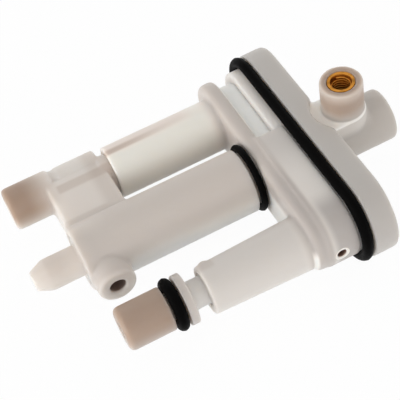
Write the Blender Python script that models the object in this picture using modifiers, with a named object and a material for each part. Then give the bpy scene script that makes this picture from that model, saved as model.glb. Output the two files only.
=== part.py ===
"""Diverter valve cartridge: a moulded head with a long seal, three parallel ports and a sprung shuttle.

The frame sits in the middle of the head seal. +X runs along the barrel to the outlet stub,
+Y runs to the long port and +Z runs up the screw boss.
"""

import bpy
import bmesh
from math import cos, pi, radians, sin
from mathutils import Matrix, Vector

MM = 0.001

# Clearances, laps and broken edges
GAP = 0.3 * MM
SLIDE = 0.4 * MM
OVERLAP = 0.6 * MM
PLAY = 0.1 * MM
FINE_EDGE = 0.2 * MM
EDGE = 0.3 * MM
SOFT_EDGE = 0.5 * MM

# Head: a long flange with round ends, its seal, and the outlet on its right
PORT_PITCH = 24.2 * MM
FLANGE_RADIUS = 11.0 * MM
FLANGE_THICKNESS = 6.4 * MM
HEAD_CORD = 2.9 * MM
HEAD_CORD_PROUD = 0.3 * MM
HUB_LENGTH = 3.9 * MM
STUB_RADIUS = 6.85 * MM
STUB_WALL = 1.7 * MM
STUB_END = 25.5 * MM
STUB_EDGE = 0.7 * MM
BOSS_X = 13.9 * MM
BOSS_RADIUS = 5.4 * MM
FOOT_STEP = 0.4 * MM
FOOT_RISE = 2.3 * MM
BOSS_TOP = 18.3 * MM
SPOT_CLEARANCE = 2.9 * MM
INSERT_RADIUS = 3.45 * MM
INSERT_BORE = 2.05 * MM
INSERT_LENGTH = 8.0 * MM
INSERT_LEAD = 0.65 * MM
INSERT_GROOVE = 0.35 * MM
INSERT_GROOVE_SHARES = (0.35, 0.7)

# Neck behind the head, and the plate that carries the tubes
NECK_LENGTH = 4.0 * MM
NECK_RADIUS = 6.3 * MM
NECK_SHORT = 0.8 * MM
NECK_WALL = 1.6 * MM
BLOCK_RADIUS = 8.6 * MM
BLOCK_FAR_END = 3.9 * MM
VENT_RADIUS = 1.1 * MM
PLATE_THICKNESS = 4.3 * MM
PLATE_RIM = 1.4 * MM
PLATE_ROUND = 1.4 * MM
PLATE_SKIN = 0.8 * MM
UPPER_TUBE_SHIFT = 3.2 * MM
UPPER_TUBE_LENGTH = 30.2 * MM
UPPER_TUBE_RADIUS = 7.0 * MM
UPPER_TUBE_WALL = 1.6 * MM
LOWER_TUBE_LENGTH = 26.2 * MM
LOWER_TUBE_RADIUS = 6.1 * MM
LOWER_TUBE_WALL = 1.9 * MM
LOWER_TUBE_DRAFT = 0.8 * MM
LOWER_TUBE_SHIFT = 0.5 * MM
LUG_RADIUS = 1.95 * MM
LUG_INSET = 2.2 * MM
LUG_OFFSET = 3.2 * MM
LUG_TOP = 4.0 * MM

# Barrel, its end cap and the pilot nozzle
BARREL_RADIUS = 8.35 * MM
BARREL_WALL = 2.05 * MM
BARREL_LENGTH = 45.7 * MM
BARREL_CORD = 1.9 * MM
BORE_LEDGE = 0.8 * MM
SPIGOT_WALL = 1.4 * MM
CAP_LENGTH = 2.9 * MM
CAP_RECESS = 0.2 * MM
CAP_CORD = 0.8 * MM
NOZZLE_RADIUS = 4.05 * MM
NOZZLE_LENGTH = 12.5 * MM
NOZZLE_BORE = 1.3 * MM
NOZZLE_FOOT = 0.4 * MM
NOZZLE_TAPER = 1.5 * MM
NOZZLE_TAPER_LENGTH = 3.2 * MM
SIDE_BOSS_OFFSET = 5.1 * MM
SIDE_BOSS_RADIUS = 4.9 * MM
SIDE_BOSS_REACH = 12.2 * MM
SIDE_BOSS_EDGE = 0.9 * MM
SIDE_HOLE_RADIUS = 2.3 * MM
SIDE_HOLE_FLARE = 0.8 * MM
SIDE_HOLE_LEAD = 1.0 * MM

# Long port: tip, section and the duct that ties it to the barrel
UPPER_TIP_REACH = 9.5 * MM
UPPER_TIP_RADIUS = 5.65 * MM
UPPER_TIP_LENGTH = 12.4 * MM
UPPER_TIP_NOSE = 1.2 * MM
SECTION_RADIUS = 5.15 * MM
SECTION_GAP = 1.9 * MM
UPPER_PLUG_LENGTH = 9.0 * MM
UPPER_BORE = 3.2 * MM
BORE_LAP = 3.0 * MM
DUCT_STEP = 0.6 * MM
DUCT_HALF_HEIGHT = 5.0 * MM
DUCT_SHORT = 1.8 * MM

# Short port: a plug-in spigot with a collar and its own seal
LOWER_TIP_RADIUS = 5.5 * MM
LOWER_TIP_LENGTH = 11.8 * MM
LOWER_TIP_NOSE = 1.6 * MM
LOWER_CORD = 3.0 * MM
LOWER_CORD_RADIUS = 6.75 * MM
COLLAR_DISC_RADIUS = 6.4 * MM
COLLAR_DISC_THICKNESS = 2.1 * MM
LOWER_NECK_STEP = 0.3 * MM
LOWER_NECK_LENGTH = 4.3 * MM
LOWER_PLUG_LENGTH = 9.0 * MM
PLUG_CORD = 1.1 * MM
PLUG_GROOVE_OFFSET = 3.0 * MM
PLUG_SKIN = 0.4 * MM

# Shuttle inside the barrel; disc, seat and spring are shares of their bores, and the other shares
# split the barrel's free length between its chambers
STROKE = 6.0 * MM
STEM_RADIUS = 1.5 * MM
STEM_END = 1.0 * MM
SHOULDER_STEP = 0.9 * MM
PISTON_LENGTH = 4.0 * MM
PISTON_SEAL_WIDTH = 1.0 * MM
PISTON_SEAL_DEPTH = 1.2 * MM
CLIP_THICKNESS = 0.6 * MM
CLIP_CLEARANCE = 0.6 * MM
CLIP_GROOVE = 0.4 * MM
GUIDE_LENGTH = 3.7 * MM
GUIDE_CORD = 1.1 * MM
SEAT_THICKNESS = 2.0 * MM
SEAT_SHARE = 0.618
DISC_THICKNESS = 1.8 * MM
DISC_SHARE = 0.836
PILOT_SHARE = 0.2
CHAMBER_SHARE = 0.48
SPRING_WIRE = 0.9 * MM
SPRING_SHARE = 0.571
SPRING_TURNS = 4.5

# Places and fits that follow from the driving dimensions
HEAD_CORD_CENTRE = FLANGE_RADIUS + HEAD_CORD_PROUD - HEAD_CORD / 2
HUB_RADIUS = HEAD_CORD_CENTRE - HEAD_CORD / 2 - GAP
HUB_LEFT = -HUB_LENGTH
FLANGE_LEFT = HEAD_CORD / 2 + GAP
FLANGE_RIGHT = FLANGE_LEFT + FLANGE_THICKNESS
FOOT_RADIUS = BOSS_RADIUS + FOOT_STEP
FOOT_TOP = STUB_RADIUS + FOOT_RISE
SPOT_RADIUS = BOSS_RADIUS + SPOT_CLEARANCE
STUB_BORE = STUB_RADIUS - STUB_WALL
NECK_RIGHT = HUB_LEFT - GAP
NECK_FAR_END = PORT_PITCH - NECK_SHORT
PLATE_RIGHT = NECK_RIGHT - NECK_LENGTH
PLATE_LEFT = PLATE_RIGHT - PLATE_THICKNESS
UPPER_TUBE_Y = PORT_PITCH - UPPER_TUBE_SHIFT
UPPER_TUBE_LEFT = PLATE_LEFT - UPPER_TUBE_LENGTH
UPPER_TUBE_BORE = UPPER_TUBE_RADIUS - UPPER_TUBE_WALL
LOWER_TUBE_LEFT = PLATE_LEFT - LOWER_TUBE_LENGTH
LOWER_TUBE_BORE = LOWER_TUBE_RADIUS - LOWER_TUBE_WALL
BARREL_RIGHT = PLATE_LEFT - BARREL_CORD - 2 * GAP
BARREL_LEFT = BARREL_RIGHT - BARREL_LENGTH
BARREL_BORE = BARREL_RADIUS - BARREL_WALL
SHUTTLE_BORE = BARREL_BORE - BORE_LEDGE
SPIGOT_RADIUS = SHUTTLE_BORE + SPIGOT_WALL
SPIGOT_RIGHT = PLATE_RIGHT - PLATE_SKIN
PLATE_RADIUS = SPIGOT_RADIUS + PLATE_RIM
CAP_LEFT = BARREL_LEFT + CAP_RECESS
CAP_RIGHT = CAP_LEFT + CAP_LENGTH
SIDE_BOSS_X = BARREL_LEFT + SIDE_BOSS_OFFSET
UPPER_TIP_END = BARREL_LEFT - UPPER_TIP_REACH
UPPER_TIP_RIGHT = UPPER_TIP_END + UPPER_TIP_LENGTH
SECTION_RIGHT = UPPER_TUBE_LEFT - SECTION_GAP
DUCT_RIGHT = SECTION_RIGHT + DUCT_STEP
DUCT_FAR = PORT_PITCH - DUCT_SHORT
COLLAR_DISC_RIGHT = LOWER_TUBE_LEFT + GAP - LOWER_NECK_LENGTH
COLLAR_DISC_LEFT = COLLAR_DISC_RIGHT - COLLAR_DISC_THICKNESS
LOWER_TIP_RIGHT = COLLAR_DISC_LEFT - LOWER_CORD - 2 * GAP
LOWER_TIP_END = LOWER_TIP_RIGHT - LOWER_TIP_LENGTH
PLUG_RADIUS = LOWER_TUBE_BORE - GAP
PLUG_FLOOR = PLUG_RADIUS + PLAY - PLUG_CORD - GAP
LOWER_BORE = PLUG_FLOOR - PLUG_SKIN
DISC_RADIUS = DISC_SHARE * SHUTTLE_BORE
SEAT_OPENING = SEAT_SHARE * SHUTTLE_BORE
CLIP_RADIUS = SEAT_OPENING - CLIP_CLEARANCE
CLIP_SEAT = STEM_RADIUS - CLIP_GROOVE
PISTON_RADIUS = BARREL_BORE - SLIDE
SPRING_RADIUS = SPRING_SHARE * BARREL_BORE
SPRING_SOLID = SPRING_TURNS * SPRING_WIRE
STEM_TAIL = 2 * GAP + CLIP_THICKNESS + STEM_END
PISTON_RUN = STEM_TAIL + PISTON_LENGTH + STROKE + SPRING_SOLID + SPRING_WIRE + GAP + GUIDE_LENGTH
VALVE_RUN = 2 * SEAT_THICKNESS + DISC_THICKNESS + STROKE + 2 * GAP
FREE_RUN = SPIGOT_RIGHT - CAP_RIGHT - PISTON_RUN - VALVE_RUN
PISTON_LEFT = CAP_RIGHT + PILOT_SHARE * FREE_RUN + STEM_TAIL
PISTON_RIGHT = PISTON_LEFT + PISTON_LENGTH
SPRING_LEFT = PISTON_RIGHT + GAP
GUIDE_LEFT = PISTON_RIGHT + STROKE + SPRING_SOLID + SPRING_WIRE + GAP
GUIDE_RIGHT = GUIDE_LEFT + GUIDE_LENGTH
SPRING_RIGHT = GUIDE_LEFT - GAP
BORE_STEP = GUIDE_RIGHT + GAP
CLOSED_SEAT_LEFT = GUIDE_RIGHT + CHAMBER_SHARE * FREE_RUN
DISC_LEFT = CLOSED_SEAT_LEFT + SEAT_THICKNESS + GAP
DISC_RIGHT = DISC_LEFT + DISC_THICKNESS
OPEN_SEAT_LEFT = DISC_RIGHT + STROKE + GAP

# Facets of a full turn
FINE = 32
COARSE = 24

# Local Z of a turned piece becomes world X or world -Y
ALONG_X = Matrix.Rotation(pi / 2, 4, 'Y')
ALONG_MINUS_Y = Matrix.Rotation(pi / 2, 4, 'X')


def clear_scene():
    for obj in list(bpy.data.objects):
        bpy.data.objects.remove(obj, do_unlink=True)


def new_collection(name):
    collection = bpy.data.collections.new(name)
    bpy.context.scene.collection.children.link(collection)
    return collection


clear_scene()
PARTS = new_collection("diverter_valve")
CUTTERS = new_collection("cutters")


def make_material(name, colour, roughness, metallic=0.0):
    material = bpy.data.materials.new(name)
    material.use_nodes = True
    shader = material.node_tree.nodes["Principled BSDF"]
    shader.inputs["Base Color"].default_value = (*colour, 1.0)
    shader.inputs["Roughness"].default_value = roughness
    shader.inputs["Metallic"].default_value = metallic
    return material


def place(obj, matrix, collection):
    obj.matrix_world = matrix
    collection.objects.link(obj)
    if collection is CUTTERS:
        obj.hide_render = True
        obj.display_type = 'WIRE'
    return obj


def at(x=0.0, y=0.0, z=0.0):
    return Matrix.Translation(Vector((x, y, z)))


def turned(name, profile, matrix, steps=FINE, collection=None, closed=True):
    """Turn a profile of (along, radius) points, listed down its outer side and up its bore."""
    mesh = bpy.data.meshes.new(name)
    shape = bmesh.new()
    points = [shape.verts.new((radius, 0.0, along)) for along, radius in profile]
    for first, second in zip(points, points[1:]):
        shape.edges.new((first, second))
    if closed:
        shape.edges.new((points[-1], points[0]))
    shape.to_mesh(mesh)
    shape.free()
    obj = place(bpy.data.objects.new(name, mesh), matrix, collection or PARTS)
    screw = obj.modifiers.new("turn", 'SCREW')
    screw.axis = 'Z'
    screw.steps = steps
    screw.render_steps = steps
    screw.use_merge_vertices = True
    screw.merge_threshold = 0.00001
    screw.use_smooth_shade = True
    return obj


def rod(name, low, high, radius, matrix, steps=FINE, collection=None):
    """A plain solid cylinder between two stations, for unions and cuts."""
    profile = [(high, 0.0), (high, radius), (low, radius), (low, 0.0)]
    return turned(name, profile, matrix, steps, collection or CUTTERS, closed=False)


def sleeve(name, left, right, outer, inner, matrix, edge=FINE_EDGE, steps=FINE):
    """A plain ring with broken outer edges."""
    profile = [(right, inner), (right, outer - edge), (right - edge, outer), (left + edge, outer),
               (left, outer - edge), (left, inner)]
    return turned(name, profile, matrix, steps)


def arc(centre_along, centre_radius, radius, start, stop, count):
    """Points of a rounded profile corner, angles in degrees from the +along direction."""
    angles = [radians(start + (stop - start) * step / count) for step in range(count + 1)]
    return [(centre_along + radius * cos(a), centre_radius + radius * sin(a)) for a in angles]


def as_mesh(obj):
    """Swap a curve object for a welded mesh object in the same place."""
    graph = bpy.context.evaluated_depsgraph_get()
    mesh = bpy.data.meshes.new_from_object(obj.evaluated_get(graph))
    shape = bmesh.new()
    shape.from_mesh(mesh)
    bmesh.ops.remove_doubles(shape, verts=shape.verts[:], dist=0.000002)
    bmesh.ops.recalc_face_normals(shape, faces=shape.faces[:])
    shape.to_mesh(mesh)
    shape.free()
    name = obj.name
    matrix = obj.matrix_world.copy()
    collection = obj.users_collection[0]
    bpy.data.objects.remove(obj, do_unlink=True)
    return place(bpy.data.objects.new(name, mesh), matrix, collection)


def long_outline(near, far, radius, count=14, flat_far=False):
    """A long outline with round ends about two centres on the Y axis, or one square far end."""
    near_end = [(-radius * cos(pi * step / count), near - radius * sin(pi * step / count))
                for step in range(count + 1)]
    if flat_far:
        return near_end + [(radius, far), (-radius, far)]
    return near_end + [(-x, far + near - y) for x, y in near_end]


def slab(name, outline, left, right, edge=0.0, rounds=0, collection=None):
    """Extrude an outline in the YZ plane between two stations, with its edges broken or rounded."""
    curve = bpy.data.curves.new(name, 'CURVE')
    curve.dimensions = '2D'
    curve.fill_mode = 'BOTH'
    curve.extrude = (right - left) / 2 - edge
    curve.bevel_depth = edge
    curve.offset = -edge
    curve.bevel_resolution = rounds
    spline = curve.splines.new('POLY')
    spline.points.add(len(outline) - 1)
    for point, (x, y) in zip(spline.points, outline):
        point.co = (x, y, 0.0, 1.0)
    spline.use_cyclic_u = True
    obj = bpy.data.objects.new(name, curve)
    place(obj, at(x=(left + right) / 2) @ ALONG_X, collection or CUTTERS)
    bpy.context.view_layer.update()
    return as_mesh(obj)


def box(name, low, high):
    """A square block between two corners, for unions and cuts."""
    mesh = bpy.data.meshes.new(name)
    shape = bmesh.new()
    bmesh.ops.create_cube(shape, size=1.0)
    centre = (Vector(low) + Vector(high)) / 2
    span = Vector(high) - Vector(low)
    for vertex in shape.verts:
        vertex.co = Vector(c * s for c, s in zip(vertex.co, span))
    shape.to_mesh(mesh)
    shape.free()
    return place(bpy.data.objects.new(name, mesh), at(*centre), CUTTERS)


def join(target, *tools):
    for tool in tools:
        add_boolean(target, tool, 'UNION')


def cut(target, *tools):
    for tool in tools:
        add_boolean(target, tool, 'DIFFERENCE')


def add_boolean(target, tool, operation):
    modifier = target.modifiers.new(tool.name, 'BOOLEAN')
    modifier.operation = operation
    # The exact solver leaves open slivers where these thin walls cross, so the closed-mesh solver is used
    modifier.solver = 'MANIFOLD'
    modifier.object = tool


def ring(name, cord, centre_radius, matrix, steps=FINE, sides=8):
    """A round seal about local Z."""
    bpy.ops.mesh.primitive_torus_add(major_radius=centre_radius, minor_radius=cord / 2,
                                     major_segments=steps, minor_segments=sides)
    obj = bpy.context.object
    obj.name = name
    for collection in list(obj.users_collection):
        collection.objects.unlink(obj)
    return place(obj, matrix, PARTS)


def tube_along(name, points, radius, cyclic, resolution):
    """A round tube along a polyline."""
    curve = bpy.data.curves.new(name, 'CURVE')
    curve.dimensions = '3D'
    curve.bevel_depth = radius
    curve.bevel_resolution = resolution
    curve.use_fill_caps = not cyclic
    spline = curve.splines.new('POLY')
    spline.points.add(len(points) - 1)
    for point, place_at in zip(spline.points, points):
        point.co = (*place_at, 1.0)
    spline.use_cyclic_u = cyclic
    place(bpy.data.objects.new(name, curve), Matrix.Identity(4), PARTS)
    bpy.context.view_layer.update()
    return as_mesh(bpy.data.objects[name])


def finish(obj, material):
    """Settle the modifiers into one mesh, shade it and give it its material."""
    bpy.context.view_layer.update()
    graph = bpy.context.evaluated_depsgraph_get()
    mesh = bpy.data.meshes.new_from_object(obj.evaluated_get(graph))
    obj.modifiers.clear()
    obj.data = mesh
    shape = bmesh.new()
    shape.from_mesh(mesh)
    bmesh.ops.dissolve_degenerate(shape, dist=0.000001, edges=shape.edges[:])
    bmesh.ops.triangulate(shape, faces=[face for face in shape.faces if len(face.verts) > 4])
    shape.to_mesh(mesh)
    shape.free()
    mesh.shade_smooth()
    mesh.set_sharp_from_angle(angle=radians(32))
    mesh.materials.clear()
    mesh.materials.append(material)


WHITE = make_material("natural_plastic", (0.80, 0.77, 0.73), 0.45)
TIP_WHITE = make_material("spigot_plastic", (0.74, 0.66, 0.60), 0.5)
RUBBER = make_material("black_rubber", (0.02, 0.02, 0.022), 0.55)
BRASS = make_material("brass", (0.70, 0.46, 0.18), 0.3, 1.0)
STEEL = make_material("spring_steel", (0.62, 0.62, 0.63), 0.3, 1.0)
SEAT_GREY = make_material("seat_plastic", (0.55, 0.55, 0.56), 0.4)


def build_head():
    """Flange with a spot face, hub, outlet stub and screw boss on its foot, bored from hub to stub."""
    stub = turned("head_block", [
        (STUB_END, 0.0),
        (STUB_END, STUB_RADIUS - STUB_EDGE),
        (STUB_END - STUB_EDGE, STUB_RADIUS),
        (FLANGE_RIGHT - OVERLAP, STUB_RADIUS),
        (FLANGE_RIGHT - OVERLAP, 0.0)], ALONG_X, closed=False)
    flange = slab("flange", long_outline(-PORT_PITCH, PORT_PITCH, FLANGE_RADIUS), FLANGE_LEFT, FLANGE_RIGHT,
                  SOFT_EDGE)
    hub = slab("hub", long_outline(-PORT_PITCH, PORT_PITCH, HUB_RADIUS), HUB_LEFT, FLANGE_LEFT + OVERLAP,
               EDGE)
    boss = turned("boss", [
        (BOSS_TOP, 0.0),
        (BOSS_TOP, BOSS_RADIUS - EDGE),
        (BOSS_TOP - EDGE, BOSS_RADIUS),
        (FOOT_TOP + FOOT_STEP, BOSS_RADIUS),
        (FOOT_TOP, FOOT_RADIUS),
        (0.0, FOOT_RADIUS),
        (0.0, 0.0)], at(x=BOSS_X), collection=CUTTERS, closed=False)
    foot = box("foot", (FLANGE_RIGHT - OVERLAP, -FOOT_RADIUS, 0.0), (BOSS_X, FOOT_RADIUS, FOOT_TOP))
    spot = rod("spot_face", FOOT_TOP, FLANGE_RADIUS + OVERLAP, SPOT_RADIUS, at(x=BOSS_X))
    join(stub, flange, hub)
    cut(stub, spot)
    join(stub, foot, boss)
    bore = rod("outlet_bore", HUB_LEFT - OVERLAP, STUB_END + OVERLAP, STUB_BORE, ALONG_X)
    pocket = rod("insert_pocket", BOSS_TOP - INSERT_LENGTH - GAP, BOSS_TOP + OVERLAP, INSERT_RADIUS + GAP,
                 at(x=BOSS_X), COARSE)
    cut(stub, bore, pocket)
    finish(stub, WHITE)


def build_insert():
    """Threaded brass sleeve with a lead-in and two knurl grooves, seated in the boss."""
    top = BOSS_TOP - PLAY
    bottom = BOSS_TOP - INSERT_LENGTH
    floor = INSERT_RADIUS - INSERT_GROOVE
    profile = [(top, INSERT_BORE + INSERT_LEAD), (top, INSERT_RADIUS - PLAY), (top - PLAY, INSERT_RADIUS)]
    for share in INSERT_GROOVE_SHARES:
        groove_top = top - share * INSERT_LENGTH + INSERT_GROOVE
        groove_bottom = groove_top - 2 * INSERT_GROOVE
        profile += [(groove_top, INSERT_RADIUS), (groove_top, floor),
                    (groove_bottom, floor), (groove_bottom, INSERT_RADIUS)]
    profile += [(bottom, INSERT_RADIUS), (bottom, INSERT_BORE), (top - INSERT_LEAD, INSERT_BORE)]
    finish(turned("brass_insert", profile, at(x=BOSS_X), COARSE), BRASS)


def build_head_seal():
    """The long black seal that runs round the hub, against the flange."""
    outline = long_outline(-PORT_PITCH, PORT_PITCH, HEAD_CORD_CENTRE, count=16)
    points = [(0.0, y, -x) for x, y in outline]
    finish(tube_along("head_o_ring", points, HEAD_CORD / 2, True, 3), RUBBER)


def build_tube_plate():
    """Bull-nosed plate with the two tubes on its left and the stepped neck on its right."""
    plate = slab("tube_plate", long_outline(-PORT_PITCH, PORT_PITCH, PLATE_RADIUS), PLATE_LEFT, PLATE_RIGHT,
                 PLATE_ROUND, 2, PARTS)
    neck = slab("neck", long_outline(-PORT_PITCH, NECK_FAR_END, NECK_RADIUS), PLATE_RIGHT - OVERLAP, NECK_RIGHT)
    block = slab("block", long_outline(-PORT_PITCH, BLOCK_FAR_END, BLOCK_RADIUS, flat_far=True),
                 PLATE_RIGHT - 2 * OVERLAP, NECK_RIGHT - OVERLAP)
    tube_right = PLATE_LEFT + OVERLAP
    lower_y = -PORT_PITCH - LOWER_TUBE_SHIFT
    upper = turned("upper_tube", [
        (tube_right, 0.0), (tube_right, UPPER_TUBE_RADIUS), (UPPER_TUBE_LEFT + SOFT_EDGE, UPPER_TUBE_RADIUS),
        (UPPER_TUBE_LEFT, UPPER_TUBE_RADIUS - SOFT_EDGE), (UPPER_TUBE_LEFT, 0.0)],
        at(y=UPPER_TUBE_Y) @ ALONG_X, collection=CUTTERS, closed=False)
    lower = turned("lower_tube", [
        (tube_right, 0.0), (tube_right, LOWER_TUBE_RADIUS + LOWER_TUBE_DRAFT),
        (LOWER_TUBE_LEFT + SOFT_EDGE, LOWER_TUBE_RADIUS), (LOWER_TUBE_LEFT, LOWER_TUBE_RADIUS - SOFT_EDGE),
        (LOWER_TUBE_LEFT, 0.0)],
        at(y=lower_y) @ ALONG_X, collection=CUTTERS, closed=False)
    lug = turned("lug", [
        (LUG_TOP, 0.0), (LUG_TOP, LUG_RADIUS - EDGE), (LUG_TOP - EDGE, LUG_RADIUS), (0.0, LUG_RADIUS),
        (0.0, 0.0)],
        at(x=LOWER_TUBE_LEFT + LUG_INSET, y=lower_y + LUG_OFFSET), COARSE // 2, CUTTERS, closed=False)
    join(plate, neck, block, upper, lower, lug)
    chamber_left = PLATE_RIGHT - NECK_WALL
    chamber = slab("chamber", long_outline(-PORT_PITCH, NECK_FAR_END, NECK_RADIUS - NECK_WALL), chamber_left,
                   NECK_RIGHT + OVERLAP)
    upper_bore = rod("upper_bore", UPPER_TUBE_LEFT - OVERLAP, chamber_left + OVERLAP,
                     UPPER_TUBE_BORE, at(y=UPPER_TUBE_Y) @ ALONG_X)
    lower_bore = rod("lower_bore", LOWER_TUBE_LEFT - OVERLAP, chamber_left + OVERLAP, LOWER_TUBE_BORE,
                     at(y=-PORT_PITCH) @ ALONG_X)
    socket = rod("socket", PLATE_LEFT - OVERLAP, SPIGOT_RIGHT + GAP, SPIGOT_RADIUS + GAP, ALONG_X)
    vent_x = (PLATE_RIGHT + NECK_RIGHT) / 2
    vent = rod("vent", PORT_PITCH, PORT_PITCH + PLATE_RADIUS + BLOCK_RADIUS, VENT_RADIUS,
               at(x=vent_x) @ ALONG_MINUS_Y, COARSE // 2)
    cut(plate, chamber, upper_bore, lower_bore, socket, vent)
    finish(plate, WHITE)


def build_barrel():
    """Stepped barrel with its side boss, the long port and the duct that ties the two together."""
    barrel = turned("valve_barrel", [
        (SPIGOT_RIGHT, SHUTTLE_BORE), (SPIGOT_RIGHT, SPIGOT_RADIUS), (BARREL_RIGHT, SPIGOT_RADIUS),
        (BARREL_RIGHT, BARREL_RADIUS - EDGE), (BARREL_RIGHT - EDGE, BARREL_RADIUS),
        (BARREL_LEFT, BARREL_RADIUS), (BARREL_LEFT, BARREL_BORE), (BORE_STEP, BARREL_BORE),
        (BORE_STEP, SHUTTLE_BORE)], ALONG_X)
    port = at(y=PORT_PITCH) @ ALONG_X
    tip = turned("long_tip", [
        (SECTION_RIGHT, 0.0), (SECTION_RIGHT, SECTION_RADIUS - SOFT_EDGE),
        (SECTION_RIGHT - SOFT_EDGE, SECTION_RADIUS), (UPPER_TIP_RIGHT, SECTION_RADIUS),
        (UPPER_TIP_RIGHT, UPPER_TIP_RADIUS - FINE_EDGE), (UPPER_TIP_RIGHT - FINE_EDGE, UPPER_TIP_RADIUS)]
        + arc(UPPER_TIP_END + UPPER_TIP_NOSE, UPPER_TIP_RADIUS - UPPER_TIP_NOSE, UPPER_TIP_NOSE, 90, 180, 4)
        + [(UPPER_TIP_END, 0.0)], port, collection=CUTTERS, closed=False)
    plug = rod("long_plug", SECTION_RIGHT - OVERLAP, SECTION_RIGHT + UPPER_PLUG_LENGTH,
               UPPER_TUBE_BORE - GAP, at(y=UPPER_TUBE_Y) @ ALONG_X)
    duct = box("duct", (BARREL_LEFT + OVERLAP, BARREL_BORE / 2, -DUCT_HALF_HEIGHT),
               (DUCT_RIGHT, DUCT_FAR, DUCT_HALF_HEIGHT))
    boss = turned("side_boss", [
        (SIDE_BOSS_REACH, 0.0), (SIDE_BOSS_REACH, SIDE_BOSS_RADIUS - SIDE_BOSS_EDGE),
        (SIDE_BOSS_REACH - SIDE_BOSS_EDGE, SIDE_BOSS_RADIUS), (BARREL_BORE, SIDE_BOSS_RADIUS + FINE_EDGE),
        (BARREL_BORE, 0.0)], at(x=SIDE_BOSS_X) @ ALONG_MINUS_Y, collection=CUTTERS, closed=False)
    join(barrel, duct, tip, plug, boss)
    flare = SIDE_HOLE_RADIUS + SIDE_HOLE_FLARE
    hole = turned("side_hole", [
        (SIDE_BOSS_REACH + OVERLAP, 0.0), (SIDE_BOSS_REACH + OVERLAP, flare), (SIDE_BOSS_REACH, flare),
        (SIDE_BOSS_REACH - SIDE_HOLE_LEAD, SIDE_HOLE_RADIUS), (BARREL_BORE / 2, SIDE_HOLE_RADIUS),
        (BARREL_BORE / 2, 0.0)], at(x=SIDE_BOSS_X) @ ALONG_MINUS_Y, COARSE, CUTTERS, closed=False)
    long_bore = rod("long_bore", UPPER_TIP_END - OVERLAP, SECTION_RIGHT - BORE_LAP, UPPER_BORE, port, COARSE)
    plug_bore = rod("plug_bore", SECTION_RIGHT - 2 * BORE_LAP, SECTION_RIGHT + UPPER_PLUG_LENGTH + OVERLAP,
                    UPPER_BORE, at(y=UPPER_TUBE_Y) @ ALONG_X, COARSE)
    cut(barrel, rod("barrel_clear", BARREL_LEFT - OVERLAP, BORE_STEP, BARREL_BORE, ALONG_X), hole, long_bore,
        plug_bore)
    finish(barrel, WHITE)


def build_barrel_seal():
    centre = BARREL_RIGHT + GAP + BARREL_CORD / 2
    radius = SPIGOT_RADIUS + GAP + BARREL_CORD / 2
    finish(ring("barrel_o_ring", BARREL_CORD, radius, at(x=centre) @ ALONG_X), RUBBER)


def build_cap():
    """End cap with the pilot nozzle, let into the barrel, and the groove of its seal."""
    cap_radius = BARREL_BORE - GAP
    groove_left = CAP_LEFT + (CAP_LENGTH - CAP_CORD) / 2 - PLAY
    groove_right = groove_left + CAP_CORD + 2 * PLAY
    floor = cap_radius - CAP_CORD - PLAY
    nozzle_end = CAP_LEFT - NOZZLE_LENGTH
    taper_end = NOZZLE_RADIUS - NOZZLE_TAPER
    finish(turned("end_cap", [
        (CAP_RIGHT, NOZZLE_BORE), (CAP_RIGHT, cap_radius), (groove_right, cap_radius), (groove_right, floor),
        (groove_left, floor), (groove_left, cap_radius), (CAP_LEFT, cap_radius),
        (CAP_LEFT, NOZZLE_RADIUS + NOZZLE_FOOT), (CAP_LEFT - NOZZLE_FOOT, NOZZLE_RADIUS),
        (nozzle_end + SOFT_EDGE + NOZZLE_TAPER_LENGTH, NOZZLE_RADIUS), (nozzle_end + SOFT_EDGE, taper_end),
        (nozzle_end, taper_end - SOFT_EDGE), (nozzle_end, NOZZLE_BORE)], ALONG_X), WHITE)
    seal_radius = cap_radius + PLAY - CAP_CORD / 2
    seal_x = (groove_left + groove_right) / 2
    finish(ring("cap_o_ring", CAP_CORD, seal_radius, at(x=seal_x) @ ALONG_X, COARSE, 6), RUBBER)


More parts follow.
